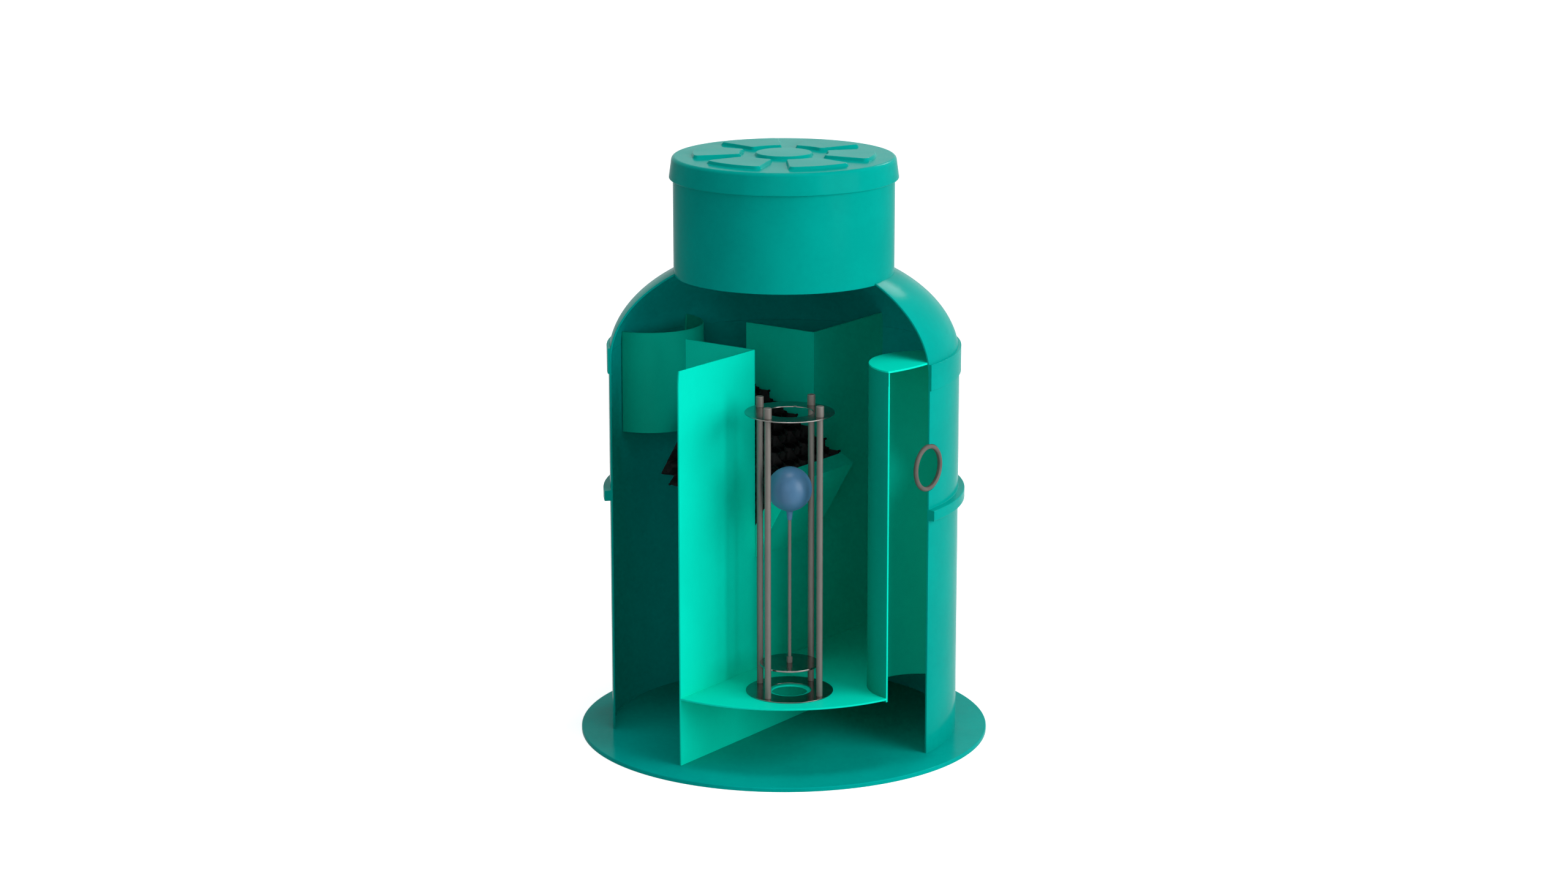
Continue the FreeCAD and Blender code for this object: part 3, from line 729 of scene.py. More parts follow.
def ring_of_pieces(finish):
    """Tree that repeats the input piece, made at +X of its ring, round an upright axis."""
    def build(g, given):
        line = g.node("GeometryNodeMeshLine", {
            "Count": given("Count"), "Start Location": given("Centre"), "Offset": (0.0, 0.0, 0.0),
        })()
        angle = given("Start") + g.node("GeometryNodeInputIndex")() * TURN / given("Count")
        turn = g.node("ShaderNodeCombineXYZ", {"Z": angle})()
        return g.node("GeometryNodeInstanceOnPoints", {
            "Points": line, "Instance": given("Geometry"), "Rotation": turn,
        })()
    inputs = {"Count": INT_SOCKET, "Start": FLOAT_SOCKET, "Centre": VECTOR_SOCKET}
    return geometry_tree("ring_of_pieces_" + finish.name, inputs, finish, build)


PACK_INPUTS = {"Corner": VECTOR_SOCKET, **dict.fromkeys((
    "Middle", "Tilt", "Slant", "Pitch", "Swing", "Rib", "Length", "Height", "Tooth", "Rise",
    "Top start", "Low start", "Nub", "Flat",
), FLOAT_SOCKET)}
SHEET_COLUMNS = 187
SHEET_ROWS = 61
BEND_RUN = 5 / 12    # height of one leg of the zigzag, in pitches
BEND = 0.55          # how far a leg goes sideways
CREST = 1.6          # above 1, the flutes' crests are flat
END_RUN_OUT = 4      # a flute is full a quarter pitch from the sheet's ends
RIM_RUN_OUT = 2.2    # and this many times nearer than a pitch from its toothed rims
RIBS = 2.5           # cross ribs on a pitch of height
RIB_EDGE = 7.0       # how narrow a rib's crest is


def pack_place(g, given, along, up):
    """Point on a sheet: zigzag flutes from tip to tip that run out flat, ribs between."""
    run = (given("Height") - up) / given("Pitch")
    tip = given("Top start") + given("Rise")
    bend = run.math("PINGPONG", BEND_RUN) * BEND
    phase = (along - tip) / given("Pitch") + run * given("Slant") + bend + 0.25
    wave = ((phase * TURN).math("SINE") * CREST).math("MINIMUM", 1.0).math("MAXIMUM", -1.0)
    end = along.math("MINIMUM", given("Length") - along) * END_RUN_OUT
    rim = g.math("MINIMUM", up, given("Height") - up) * RIM_RUN_OUT
    deep = (end.math("MINIMUM", rim) / given("Pitch")).math("MINIMUM", 1.0)
    crest = ((run * RIBS + phase).math("PINGPONG", 0.5) * 2).math("POWER", RIB_EDGE)
    flute = given("Flat") + (wave - given("Flat")) * deep
    y = given("Middle") + flute * given("Swing") - crest * given("Rib") * deep
    sine = given("Tilt").math("SINE")
    cosine = given("Tilt").math("COSINE")
    corner = g.node("ShaderNodeSeparateXYZ", {0: given("Corner")})
    x = corner("X") - along * cosine + up * sine
    z = corner("Z") + along * sine + up * cosine
    return g.node("ShaderNodeCombineXYZ", {"X": x, "Y": y, "Z": z})()


def tooth(given, along, start):
    """Share of the tooth height at a length along the sheet."""
    part = (along / given("Pitch") - start / given("Pitch")).math("FRACT") * given("Pitch")
    gentle = (given("Pitch") - part) / (given("Pitch") - given("Rise"))
    return (part / given("Rise")).math("MINIMUM", gentle)


def sheet_tree(finish):
    """Tree of one corrugated sheet with toothed ends."""
    def build(g, given):
        grid = g.node("GeometryNodeMeshGrid", {
            "Size X": 1.0, "Size Y": 1.0, "Vertices X": SHEET_COLUMNS, "Vertices Y": SHEET_ROWS,
        })()
        spot = g.node("ShaderNodeSeparateXYZ", {0: g.node("GeometryNodeInputPosition")()})
        along = (spot("X") + 0.5) * given("Length")
        foot = tooth(given, along, given("Low start")) * given("Tooth")
        tips = tooth(given, along, given("Top start")) * given("Tooth")
        head = given("Height") - given("Tooth") + tips
        up = foot + (spot("Y") + 0.5) * (head - foot)
        return g.node("GeometryNodeSetPosition", {
            "Geometry": grid, "Position": pack_place(g, given, along, up),
        })()
    return geometry_tree("corrugated_sheet", PACK_INPUTS, finish, build)


def nub_tree(finish):
    """Tree of the round nubs on the tooth tips of one sheet."""
    def build(g, given):
        upright = g.node("GeometryNodeMeshCylinder", {
            "Vertices": 14, "Side Segments": 1, "Radius": given("Nub"), "Depth": given("Nub") * 2,
        })("Mesh")
        rod = g.node("GeometryNodeTransform", {
            "Geometry": upright, "Rotation": (TURN / 4, 0.0, 0.0),
        })()
        rows = []
        top_tips = given("Top start") + given("Rise")
        for start, up in ((top_tips, given("Height")), (given("Low start"), 0.0)):
            line = g.node("GeometryNodeMeshLine", {"Count": 8, "Offset": (0.0, 0.0, 0.0)})()
            along = start + g.node("GeometryNodeInputIndex")() * given("Pitch")
            row = g.node("GeometryNodeSetPosition", {
                "Geometry": line, "Position": pack_place(g, given, along, up),
            })()
            inside = along.math("GREATER_THAN", 0.0) * along.math("LESS_THAN", given("Length"))
            rows.append(g.node("GeometryNodeInstanceOnPoints", {
                "Points": row, "Selection": inside, "Instance": rod,
            })())
        return g.node("GeometryNodeJoinGeometry", {0: rows})()
    return geometry_tree("tooth_nubs", PACK_INPUTS, finish, build)


def seal_tree(finish):
    """Tree of a ring seal: a round section swept round a circle, with a flat land inside."""
    def build(g, given):
        kind = "GeometryNodeCurvePrimitiveCircle"
        path = g.node(kind, {"Resolution": 160, "Radius": given("Radius")})()
        section = g.node(kind, {"Resolution": 40, "Radius": given("Section")})()
        ring = g.node("GeometryNodeCurveToMesh", {"Curve": path, "Profile Curve": section})()
        spot = g.node("ShaderNodeSeparateXYZ", {0: g.node("GeometryNodeInputPosition")()})
        reach = (spot("X") * spot("X") + spot("Y") * spot("Y")).math("SQRT")
        wider = reach.math("MAXIMUM", given("Bore")) / reach
        upright = g.node("ShaderNodeCombineXYZ", {
            "X": spot("Z"), "Y": spot("Y") * wider, "Z": spot("X") * wider,
        })()
        there = g.node("ShaderNodeVectorMath", {0: upright, 1: given("Centre")})()
        return g.node("GeometryNodeSetPosition", {"Geometry": ring, "Position": there})()
    inputs = dict.fromkeys(("Radius", "Section", "Bore"), FLOAT_SOCKET)
    return geometry_tree("ring_seal", {**inputs, "Centre": VECTOR_SOCKET}, finish, build)


# Pieces

class SEPARATOR_OT_base(bpy.types.Operator):
    """Round anchor plate under the tank"""
    bl_idname = "separator.base"
    bl_label = "Base plate"

    def execute(self, context):
        sizes = context.scene.separator_shell
        radius = -low("base_plate").x
        profile = rod_profile(radius, 0.0, BASE_TOP, sizes.edge_round, sizes.base_round)
        # The paler base colours are painted light on the plate's top
        finish = shell_gelcoat(context.scene.separator_look, "base_gelcoat", "base")
        fit(soften(lathe("base_flange", profile)), finish, "gelcoat", TANK, "base_plate")
        return {"FINISHED"}


def dome_line(radius, rise, end, steps=48):
    """Points of the dome's ellipse from the shell up to the neck."""
    last = math.acos(end / radius)
    angles = [last * i / steps for i in range(steps + 1)]
    return [(radius * math.cos(a), SHELL_TOP + rise * math.sin(a)) for a in angles]


def radius_at(z, wall=0.0):
    """Radius of the shell or the dome at a height, a wall's thickness inside it."""
    radius = SHELL_RADIUS - wall
    if z <= SHELL_TOP:
        return radius
    return radius * math.sqrt(1 - ((z - SHELL_TOP) / (DOME_RISE - wall)) ** 2)


def seal_drill(sizes, seal, side):
    """Cutter along X for a seal's hole."""
    size = high(seal) - low(seal)
    outline = circle(size.z / 2 + sizes.seal_room, 96, (0.0, middle(seal).z))
    ends = [side * SHELL_RADIUS * end for end in DRILL_ENDS]
    return stack(seal + "_drill", [[(x, y, z) for y, z in outline] for x in ends])


def band_profile(sizes, dome):
    """Rounded outer edges, with an inner side that lies on the shell and the dome's foot."""
    bottom, top = low("joint_band").z, high("joint_band").z
    outer = high("joint_band").y
    under = [(r - OVERLAP, z) for r, z in dome if z < top]
    return rounded([
        (SHELL_RADIUS - OVERLAP, bottom, 0), (outer, bottom, sizes.band_round),
        (outer, top, sizes.band_round), (radius_at(top) - OVERLAP, top, 0),
    ], 3) + under[::-1]


def rib_profile(sizes):
    """Coved root, falling top and rounded outer edges."""
    bottom, top = low("shell_rib").z, high("shell_rib").z
    outer = high("shell_rib").y
    inner = SHELL_RADIUS - OVERLAP
    root = SHELL_RADIUS + sizes.rib_cove
    shoulder = top - sizes.rib_cove
    edges = rounded([
        (inner, bottom, 0), (outer, bottom, sizes.rib_round),
        (outer, shoulder - sizes.rib_fall, sizes.rib_round), (root, shoulder, 0),
    ])
    cove = arc(sizes.rib_cove, -TURN / 4, -TURN / 2, 6, (root, top))
    return edges + cove[1:] + [(inner, top)]


class SEPARATOR_OT_shell(bpy.types.Operator):
    """Round shell with its pipe holes, dome head, joint band, rib and neck"""
    bl_idname = "separator.shell"
    bl_label = "Shell and dome"

    def execute(self, context):
        sizes = context.scene.separator_shell
        look = context.scene.separator_look
        outside = shell_gelcoat(look)
        # The inside finish is the gelcoat made paler and bluer: painted light on the inner faces
        inside = shell_gelcoat(look, "inside_gelcoat", "inside")
        inner = SHELL_RADIUS - sizes.wall

        walls = ["shell_wall_outlet_side", "shell_wall_rear", "shell_wall_inlet_side"]
        shell = lathe("shell_body", [
            (inner, BASE_TOP), (SHELL_RADIUS, BASE_TOP), (SHELL_RADIUS, SHELL_TOP),
            (inner, SHELL_TOP),
        ], STANDING_SWEEP)
        carve(shell, [seal_drill(sizes, "outlet_seal", 1), seal_drill(sizes, "inlet_seal", -1)])
        fit(soften(shell, sizes.edge_round), outside, "gelcoat", TANK, *walls)
        line_inside(shell, inside)

        outer_line = dome_line(SHELL_RADIUS, DOME_RISE, NECK_RADIUS)
        inner_line = dome_line(inner, DOME_RISE - sizes.wall, NECK_RADIUS - sizes.wall)
        dome = lathe("dome", outer_line + inner_line[::-1], STANDING_SWEEP)
        fit(soften(dome, sizes.edge_round), outside, "gelcoat", TANK, "dome_head")
        line_inside(dome, inside)

        band = lathe("joint_collar", band_profile(sizes, outer_line), STANDING_SWEEP)
        fit(soften(band), outside, "gelcoat", TANK, "joint_band")
        rib = lathe("rib", rib_profile(sizes), STANDING_SWEEP)
        fit(soften(rib), outside, "gelcoat", TANK, "shell_rib")

        neck = lathe("access_neck", ring_profile(
            NECK_RADIUS - sizes.wall, NECK_RADIUS, low("neck").z, NECK_TOP, sizes.edge_round, 2
        ))
        fit(soften(neck), outside, "gelcoat", TANK, "neck")
        line_inside(neck, inside)
        return {"FINISHED"}


def cover_profile(sizes, crown):
    """Half section of the cover: tapered skirt, rounded shoulder and seat on the neck."""
    skirt, skirt_low = high("cover").x, low("cover").z
    inner = NECK_RADIUS + sizes.clearance
    seat = NECK_RADIUS - sizes.seat
    under = crown - sizes.wall
    return rounded([
        (0.0, under, 0), (seat, under, 0), (seat, NECK_TOP, 0), (inner, NECK_TOP, 0),
        (inner, skirt_low, FINE_ROUND), (skirt, skirt_low, sizes.skirt_round),
        (sizes.shoulder, crown, sizes.shoulder_round), (0.0, crown, 0),
    ], 8)


def pad_slope(sizes):
    """Inset and rise of each step up the soft side of a raised shape."""
    steps = [k / BEVEL_STEPS for k in range(BEVEL_STEPS + 1)]
    return [(sizes.bevel * t, sizes.relief * t * t * (3 - 2 * t)) for t in steps]


def pad_outlines(sizes, foot):
    """Rounded sector outlines from a pad's foot to its crown."""
    mid = (sizes.pad_inner + sizes.pad_outer) / 2
    outlines = []
    for inset, rise in pad_slope(sizes):
        half = sizes.pad_sweep / 2 * mid - inset
        inner, outer = sizes.pad_inner + inset, sizes.pad_outer - inset
        corner = sizes.pad_corner - inset / 2
        flat = rounded([
            (inner, -half, corner), (outer, -half, corner),
            (outer, half, corner), (inner, half, corner),
        ], 6)
        bent = [
            (r * math.cos(u / mid), r * math.sin(u / mid))
            for r, u in divided(flat, 2 * sizes.pad_corner, 16)
        ]
        outlines.append(level(bent, foot + rise))
    return outlines


class SEPARATOR_OT_cover(bpy.types.Operator):
    """Lift-off cover with a ring of raised sector pads and a round boss"""
    bl_idname = "separator.cover"
    bl_label = "Cover"

    def execute(self, context):
        sizes = context.scene.separator_cover
        finish = shell_gelcoat(context.scene.separator_look)
        crown = high("cover").z - sizes.relief
        cover = lathe("cover_shell", cover_profile(sizes, crown))
        fit(soften(cover), finish, "gelcoat", TANK, "cover")

        foot = crown - SUNK
        pads = soften(stack("cover_pads", pad_outlines(sizes, foot)))
        grow(pads, ring_of_pieces(finish), {
            "Count": sizes.pads, "Start": TURN / 2 / sizes.pads, "Centre": (0.0, 0.0, 0.0),
        })
        fit(settle(pads), finish, "gelcoat", TANK)

        side = [(sizes.boss - inset, foot + rise) for inset, rise in pad_slope(sizes)]
        boss = lathe("cover_boss", [(0.0, foot)] + side + [(0.0, foot + sizes.relief)])
        fit(soften(boss), finish, "gelcoat", TANK)
        return {"FINISHED"}


def add_sill_joint(sizes, finish):
    """Laminated joint that closes the slit between the window's sill and the cradle."""
    foot, end = low("coalescer_cradle"), high("coalescer_cradle")
    back = low("partition_wall").x
    skin = foot.x + JOINT_SKIN
    below = foot.z - JOINT_DROP * sizes.wall
    above = foot.z + JOINT_RISE * sizes.wall
    tip = skin + JOINT_SLOPE * sizes.wall
    outline = [(back, below), (skin, below), (skin, foot.z), (tip, above), (back, above)]
    ends = [[(x, y, z) for x, z in outline] for y in (foot.y, end.y)]
    fit(soften(stack("sill_joint", ends)), finish, "inner_gelcoat", TANK)


def hood_arc(centre, radius, z, wall, top, steps=72):
    """Arc of a hood in plan: its rear end follows the shell, its front end is upright."""
    ends = []
    for height in (z, top):
        limit = radius_at(height, wall)
        meet = (limit ** 2 - centre ** 2 - radius ** 2) / (2 * abs(centre) * radius)
        ends.append(math.acos(max(-1.0, min(1.0, meet))))
    side = 1 if centre > 0 else -1
    points = arc(radius, ends[0], TURN - ends[1], steps)
    return [(centre + side * x, y) for x, y in points]


def hood_size(node):
    """Centre and outer radius of a hood, from its frame node."""
    radius = high(node).y
    if low(node).x > 0:
        return low(node).x + radius, radius
    return high(node).x - radius, radius


def add_hood(node, sizes, finish, hollow_painted_shade, end_finish):
    """Half-round wall against the shell, its hollow side and cut ends finished apart: wall and
    hollow side take their own strengths of painted shade, the cut ends the plates' laminate
    without it.
    """
    centre, radius = hood_size(node)
    bottom, top = low(node).z, high(node).z
    outlines = []
    for z in [bottom] + [z for z in (SHELL_TOP,) if bottom < z < top] + [top]:
        outer = hood_arc(centre, radius, z, sizes.wall, top)
        inner = hood_arc(centre, radius - sizes.wall, z, sizes.wall, top)
        outlines.append(level(outer + inner[::-1], z))
    piece = soften(stack(node + "_wall", outlines), sizes.edge_round)
    fit(piece, finish, "inner_gelcoat", TANK, node)
    # Cut ends at the shell keep the undarkened laminate; the hollow side takes its own painted
    # shade
    piece.data.materials.append(end_finish)
    piece.data.materials.append(hollow_painted_shade)
    near_shell = SHELL_RADIUS - 2.2 * sizes.wall
    end_area = 0.3 * sizes.wall * (top - SHELL_TOP)
    for face in piece.data.polygons:
        upright = abs(face.normal.z) < 0.1
        at_shell = face.center.to_2d().length > near_shell
        if upright and at_shell and face.area > end_area:
            face.material_index = 1
        elif turned_inward(face, (centre, 0.0)) > 0.5:
            face.material_index = 2


def add_lid(sizes, finish):
    """Flat top of the outlet pocket."""
    centre, radius = hood_size("outlet_pocket")
    outlines = []
    for z in (low("outlet_pocket_lid").z, high("outlet_pocket_lid").z):
        front = hood_arc(centre, radius, z, sizes.wall, z)
        end = math.atan2(front[-1][1], front[-1][0])
        back = arc(radius_at(z, sizes.wall), end, -end, 24)[1:-1]
        outlines.append(level(front + back, z))
    piece = soften(stack("pocket_lid", outlines), sizes.edge_round)
    fit(piece, finish, "inner_gelcoat", TANK, "outlet_pocket_lid")


def add_shelf(sizes, port, finish):
    """Half-round floor of the outlet chamber, with the port under the valve."""
    bottom, top = low("valve_shelf").z, high("valve_shelf").z
    inner = SHELL_RADIUS - sizes.wall
    start = math.acos(low("valve_shelf").x / inner)
    shelf = slab("shelf", arc(inner, -start, start, 150), bottom, top)
    centre, radius = hood_size("outlet_pocket")
    holes = (circle(port, 144, VALVE_AXIS), circle(radius, 144, (centre, 0.0)))
    carve(shelf, [slab("hole", hole, bottom - CUT_SPARE, top + CUT_SPARE) for hole in holes])
    fit(soften(shelf, sizes.edge_round), finish, "inner_gelcoat", TANK, "valve_shelf")


class SEPARATOR_OT_chambers(bpy.types.Operator):
    """Partition, bay walls, cradle, pocket, lid, deflector and shelf"""
    bl_idname = "separator.chambers"
    bl_label = "Chambers"

    def execute(self, context):
        scene = context.scene
        sizes = scene.separator_shell
        look = scene.separator_look
        plates = chamber_laminate(look)
        # The pocket and the deflector take darker copies of the plates' laminate: painted shade
        pocket = chamber_laminate(look, "pocket_laminate", look.pocket_depth)
        deflector = chamber_laminate(look, "deflector_laminate", look.deflector_depth)
        add_sill_joint(sizes, plates)
        for node in ("partition_wall", "bay_wall_front", "bay_wall_rear", "coalescer_cradle"):
            plate = dressed_copy(node, node + "_plate", sizes.edge_round)
            fit(plate, plates, "inner_gelcoat", TANK, node)
        # Pocket wall and deflector are darkened as painted shade; the pocket's hollow side takes
        # the deflector's lighter painted shade
        add_hood("outlet_pocket", sizes, pocket, deflector, plates)
        add_hood("inlet_deflector", sizes, deflector, deflector, plates)
        add_lid(sizes, plates)
        add_shelf(sizes, scene.separator_valve.port, plates)
        return {"FINISHED"}


def flute_slant(sizes, side):
    """Slant of the flutes, nearest the wanted lean, that joins top tips to lower tips."""
    rows = sizes.height / sizes.pitch
    shift = (sizes.low_start - sizes.top_start - sizes.tooth_rise) / sizes.pitch
    return (round(side * math.tan(sizes.lean) * rows + shift) - shift) / rows


class SEPARATOR_OT_coalescer(bpy.types.Operator):
    """Tilted pack of corrugated sheets"""
    bl_idname = "separator.coalescer"
    bl_label = "Coalescer pack"

    def execute(self, context):
        sizes = context.scene.separator_pack
        finish = black_sheet(context.scene.separator_look)
        sheets = sorted(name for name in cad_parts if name.startswith("coalescer_sheet_"))
        pack_low = min(low(name).y for name in sheets)
        pack_high = max(high(name).y for name in sheets)
        spacing = (pack_high - pack_low) / len(sheets)
        swing = (spacing - sizes.gap - sizes.sheet - sizes.rib) / 2
        values = {
            "Corner": (sizes.corner_x, 0.0, sizes.corner_z), "Tilt": sizes.tilt,
            "Length": sizes.span, "Height": sizes.height, "Pitch": sizes.pitch,
            "Tooth": sizes.tooth_height, "Rise": sizes.tooth_rise, "Top start": sizes.top_start,
            "Low start": sizes.low_start, "Nub": sizes.nub, "Rib": sizes.rib,
        }
        for i, node in enumerate(sheets):
            side = 1 if i % 2 else -1
            values["Middle"] = pack_low + (i + 0.5) * spacing + sizes.rib / 2
            values["Swing"] = side * swing
            values["Slant"] = flute_slant(sizes, side)
            values["Flat"] = 1.0 if node in (sheets[0], sheets[-1]) else 0.0
            sheet = grow(new_piece(f"flute_sheet_{i + 1}", [], []), sheet_tree(finish), values)
            wall = sheet.modifiers.new("wall", "SOLIDIFY")
            wall.thickness = sizes.sheet
            wall.offset = 0.0
            settle(sheet)
            nubs = settle(grow(new_piece(f"nubs_{i + 1}", [], []), nub_tree(finish), values))
            piece = joined(f"coalescer_fin_{i + 1}", [sheet, nubs])
            fit(soften(piece), finish, "lamella", TANK, node)
        return {"FINISHED"}


class SEPARATOR_OT_seals(bpy.types.Operator):
    """Ring seals at the outlet and the inlet"""
    bl_idname = "separator.seals"
    bl_label = "Ring seals"

    def execute(self, context):
        finish = seal_rubber(context.scene.separator_look)
        bore = context.scene.separator_shell.seal_bore
        for node in ("outlet_seal", "inlet_seal"):
            size = high(node) - low(node)
            section = size.x / 2
            seal = grow(new_piece(node + "_ring", [], []), seal_tree(finish), {
                "Radius": size.z / 2 - section, "Section": section, "Bore": bore,
                "Centre": tuple(middle(node)),
            })
            fit(soften(settle(seal)), finish, "rubber", TANK, node)
        return {"FINISHED"}


def add_ring(node, bore, sizes, finish, cutters):
    """Flat ring of the cage."""
    outer = (high(node).x - low(node).x) / 2
    profile = ring_profile(bore, outer, low(node).z, high(node).z, sizes.ring_round, 3)
    ring = lathe(node + "_plate", profile, centre=VALVE_AXIS, steps=240)
    if cutters:
        carve(ring, cutters)
    fit(soften(ring), finish, "stainless", TANK, node)


def notch_cutter(sizes):
    """Cutter of the small notch at the rear of the top ring's bore."""
    inner, outer = sizes.top_bore - sizes.notch_depth, sizes.top_bore + sizes.notch_depth
    half = sizes.notch_width / 2
    corners = ((inner, -half), (outer, -half), (outer, half), (inner, half))
    turn = Matrix.Rotation(sizes.notch_turn, 2)
    outline = [turn @ Vector(corner) + VALVE_AXIS for corner in corners]
    bottom, top = low("valve_top_ring").z, high("valve_top_ring").z
    return slab("notch", outline, bottom - CUT_SPARE, top + CUT_SPARE)


class SEPARATOR_OT_cage(bpy.types.Operator):
    """Rings, guide columns and caps of the float valve's cage"""
    bl_idname = "separator.cage"
    bl_label = "Valve cage"

    def execute(self, context):
        sizes = context.scene.separator_valve
        look = context.scene.separator_look
        add_ring("valve_base_ring", sizes.base_bore, sizes, polished_steel(look), [])
        notch = notch_cutter(sizes)
        add_ring("valve_top_ring", sizes.top_bore, sizes, polished_steel(look), [notch])

        columns = [f"guide_column_{i + 1}" for i in range(sizes.columns)]
        column = rod_profile(
            sizes.column, low(columns[0]).z, low("valve_top_ring").z,
            sizes.column_round, sizes.column_round, 3,
        )
        cap = rod_profile(
            sizes.cap, low("column_caps").z, high("column_caps").z,
            FINE_ROUND, sizes.cap_round, 6,
        )
        circle_radius = (middle(columns[0]).to_2d() - VALVE_AXIS).length
        steel = brushed_steel(look)
        for name, profile, steps, nodes in (
            ("guide_columns", column, 40, columns), ("guide_caps", cap, 48, ["column_caps"]),
        ):
            piece = soften(lathe(name, profile, centre=(circle_radius, 0.0), steps=steps))
            grow(piece, ring_of_pieces(steel), {
                "Count": sizes.columns, "Start": 0.0, "Centre": (*VALVE_AXIS, 0.0),
            })
            fit(settle(piece), steel, "stainless", TANK, *nodes)
        return {"FINISHED"}


def add_turned(name, profile, steps, finish, slot, node):
    """Adds a round piece of the float valve."""
    piece = lathe(name, profile, centre=VALVE_AXIS, steps=steps)
    fit(soften(piece), finish, slot, VALVE, node)


def extent(node):
    """Radius, bottom and top of a round frame node."""
    box_low, box_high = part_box(node)
    return (box_high.x - box_low.x) / 2, box_low.z, box_high.z


def disc_nut():
    """Hexagon nut with chamfered corners."""
    corner, bottom, top = extent("stem_nut")
    chamfer = corner * NUT_CHAMFER
    side = TURN / 6
    outlines = []
    for z, size in (
        (bottom, NUT_FACE), (bottom + chamfer, 1.0), (top - chamfer, 1.0), (top, NUT_FACE),
    ):
        ring = []
        for angle in (TURN * i / NUT_POINTS for i in range(NUT_POINTS)):
            flat = corner * math.cos(side / 2) / math.cos((angle + side / 2) % side - side / 2)
            reach = min(flat, corner * size)
            ring.append((reach * math.cos(angle), reach * math.sin(angle)))
        outlines.append([(VALVE_AXIS.x + x, VALVE_AXIS.y + y, z) for x, y in ring])
    return soften(stack("disc_nut", outlines))


def float_profile(sizes):
    """Half section of the ball with its short neck."""
    radius, bottom, top = extent("float_ball")
    centre = top - radius
    out = sizes.neck + sizes.neck_blend
    drop = math.sqrt((radius + sizes.neck_blend) ** 2 - out ** 2)
    meet = math.atan2(drop, out)
    ball = arc(radius, TURN / 4, -meet, 64, (0.0, centre))
    blend = arc(sizes.neck_blend, TURN / 2 - meet, TURN / 2, 8, (out, centre - drop))
    return [(0.0, top)] + ball[1:] + blend[1:] + [(sizes.neck_foot, bottom), (0.0, bottom)]


class SEPARATOR_OT_float_valve(bpy.types.Operator):
    """Disc, nut, stem and ball float"""
    bl_idname = "separator.float_valve"
    bl_label = "Float valve"

    def execute(self, context):
        sizes = context.scene.separator_valve
        look = context.scene.separator_look
        steel = brushed_steel(look)
        disc = rod_profile(*extent("valve_disc"), sizes.disc_round, sizes.disc_round, 4)
        stem = rod_profile(*extent("float_stem"))
        ball = float_profile(sizes)
        polished = polished_steel(look)
        add_turned("closing_disc", disc, 200, polished, "stainless", "valve_disc")
        fit(disc_nut(), steel, "stainless", VALVE, "stem_nut")
        add_turned("valve_stem", stem, 32, steel, "stainless", "float_stem")
        add_turned("ball_float", ball, 96, blown_float(look), "float_blue", "float_ball")
        return {"FINISHED"}


# Stage

LAMPS = {  # diameter, place and target of each round lamp
    "key_light": (4.2, (4.8, 0.3, 2.5), (0.0, 0.0, 0.8)),
    "back_light": (0.9, (-0.26, 3.67, 3.55), (0.34, 0.0, 1.34)),
    "fill_light": (3.0, (3.6, -6.7, 3.2), (0.0, 0.0, 0.8)),
    "top_light": (2.0, (0.3, -0.4, 6.0), (0.0, 0.0, 0.0)),
}
CAMERA_PLACE = (5.753, -7.918, 3.268)
CAMERA_TURN = (math.radians(76.146), 0.0, math.radians(36.0))
SENSOR_WIDTH = 36.0
WHITE = (1.0, 1.0, 1.0, 1.0)
FLOOR_COLOUR = (0.8, 0.8, 0.8, 1.0)
FLOOR_REACH = 30.0
GLOW_NEAR = 1.5  # the floor turns from its own glow to full white between these distances
GLOW_FAR = 5.0


def in_view(g, mirrored=1.0):
    """1 for rays that show the background, straight or through glass, else mirrored."""
    path = g.node("ShaderNodeLightPath")
    straight = path("Is Camera Ray").math("MAXIMUM", path("Is Transmission Ray"))
    return straight.math("MAXIMUM", path("Is Glossy Ray") * mirrored)


def add_surroundings(scene, look):
    """White to the camera and to reflections, an even light to the object."""
    world = bpy.data.worlds.new("studio")
    scene.world = world
    g = fresh_graph(world)
    seen = in_view(g)
    white = g.node("ShaderNodeBackground", {"Color": WHITE, "Strength": 1.0})
    even = g.node("ShaderNodeBackground", {
        "Color": shade(look.ambient_tint), "Strength": look.ambient,
    })
    sky = g.node("ShaderNodeMixShader", {0: seen, 1: even(), 2: white()})
    g.node("ShaderNodeOutputWorld", {"Surface": sky()})


def add_floor(look):
    """Pale floor that keeps the tank's soft shadow."""
    corners = ((-1, -1), (1, -1), (1, 1), (-1, 1))
    mesh = bpy.data.meshes.new("studio_floor")
    mesh.from_pydata(
        [(x * FLOOR_REACH, y * FLOOR_REACH, 0) for x, y in corners], [], [(0, 1, 2, 3)]
    )
    pale = bpy.data.materials.new("studio_floor")
    g = fresh_graph(pale)
    matt = g.node("ShaderNodeBsdfDiffuse", {"Color": FLOOR_COLOUR})
    away = g.node("ShaderNodeVectorMath", {0: g.place()}, operation="LENGTH")("Value")
    white = g.spread(away, GLOW_NEAR, GLOW_FAR, look.floor_glow, 1.0)
    seen = in_view(g, look.floor_mirrored)
    glow = g.node("ShaderNodeEmission", {"Color": seen * white, "Strength": 1.0})
    both = g.node("ShaderNodeAddShader", {0: matt(), 1: glow()})
    g.node("ShaderNodeOutputMaterial", {"Surface": both()})
    mesh.materials.append(pale)
    add_object("studio_floor", mesh)


def add_lamp(name, watts):
    """Round area light aimed at a point."""
    diameter, place, target = LAMPS[name]
    data = bpy.data.lights.new(name, "AREA")
    data.shape = "DISK"
    data.size = diameter
    data.energy = watts
    light = add_object(name, data)
    light.location = place
    light.visible_camera = False
    aim = Vector(target) - Vector(place)
    light.rotation_euler = aim.to_track_quat("-Z", "Y").to_euler()


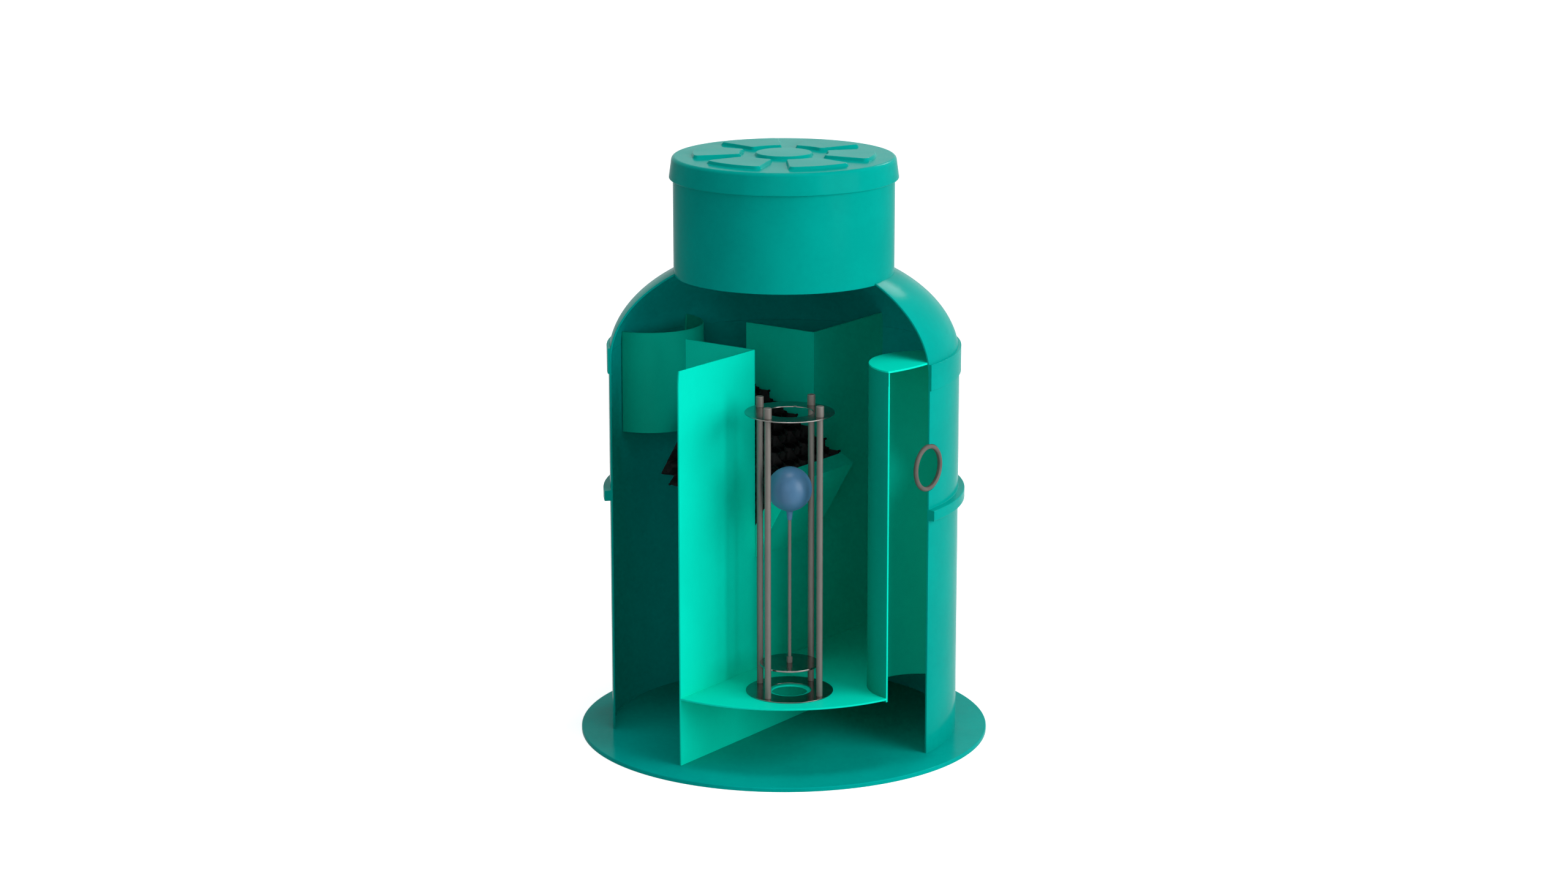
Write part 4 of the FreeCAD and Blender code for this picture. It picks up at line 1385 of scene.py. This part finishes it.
def add_camera(scene, look):
    """Camera at the photograph's place."""
    data = bpy.data.cameras.new("photo_camera")
    data.lens = look.lens
    data.sensor_width = SENSOR_WIDTH
    camera = add_object("photo_camera", data)
    camera.location = CAMERA_PLACE
    camera.rotation_euler = CAMERA_TURN
    scene.camera = camera


class SEPARATOR_OT_stage(bpy.types.Operator):
    """Floor, lights, white surroundings and camera"""
    bl_idname = "separator.stage"
    bl_label = "Stage"

    def execute(self, context):
        scene = context.scene
        look = scene.separator_studio
        add_surroundings(scene, look)
        add_floor(look)
        for name in LAMPS:
            add_lamp(name, getattr(look, name))
        add_camera(scene, look)
        scene.view_settings.view_transform = "Standard"
        return {"FINISHED"}


OPERATORS = (
    SEPARATOR_OT_base, SEPARATOR_OT_shell, SEPARATOR_OT_cover, SEPARATOR_OT_chambers,
    SEPARATOR_OT_coalescer, SEPARATOR_OT_seals, SEPARATOR_OT_cage, SEPARATOR_OT_float_valve,
    SEPARATOR_OT_stage,
)
GROUPS = {
    "separator_shell": ShellSizes,
    "separator_cover": CoverSizes,
    "separator_pack": PackSizes,
    "separator_valve": ValveSizes,
    "separator_look": FinishLook,
    "separator_studio": StudioLook,
}


class SEPARATOR_PT_panel(bpy.types.Panel):
    """Lists the separator's pieces"""
    bl_idname = "SEPARATOR_PT_panel"
    bl_label = "Oil separator"
    bl_space_type = "VIEW_3D"
    bl_region_type = "UI"
    bl_category = "Separator"

    def draw(self, context):
        for operator in OPERATORS:
            self.layout.operator(operator.bl_idname)


def register():
    for group in GROUPS.values():
        bpy.utils.register_class(group)
    for name, group in GROUPS.items():
        setattr(bpy.types.Scene, name, PointerProperty(type=group))
    for operator in OPERATORS:
        bpy.utils.register_class(operator)
    bpy.utils.register_class(SEPARATOR_PT_panel)


def unregister():
    bpy.utils.unregister_class(SEPARATOR_PT_panel)
    for operator in reversed(OPERATORS):
        bpy.utils.unregister_class(operator)
    for name, group in GROUPS.items():
        delattr(bpy.types.Scene, name)
        bpy.utils.unregister_class(group)


def main():
    """Builds every piece in order."""
    register()
    bpy.ops.separator.base()
    bpy.ops.separator.shell()
    bpy.ops.separator.cover()
    bpy.ops.separator.chambers()
    bpy.ops.separator.coalescer()
    bpy.ops.separator.seals()
    bpy.ops.separator.cage()
    bpy.ops.separator.float_valve()
    bpy.ops.separator.stage()


if __name__ == "__main__":
    main()
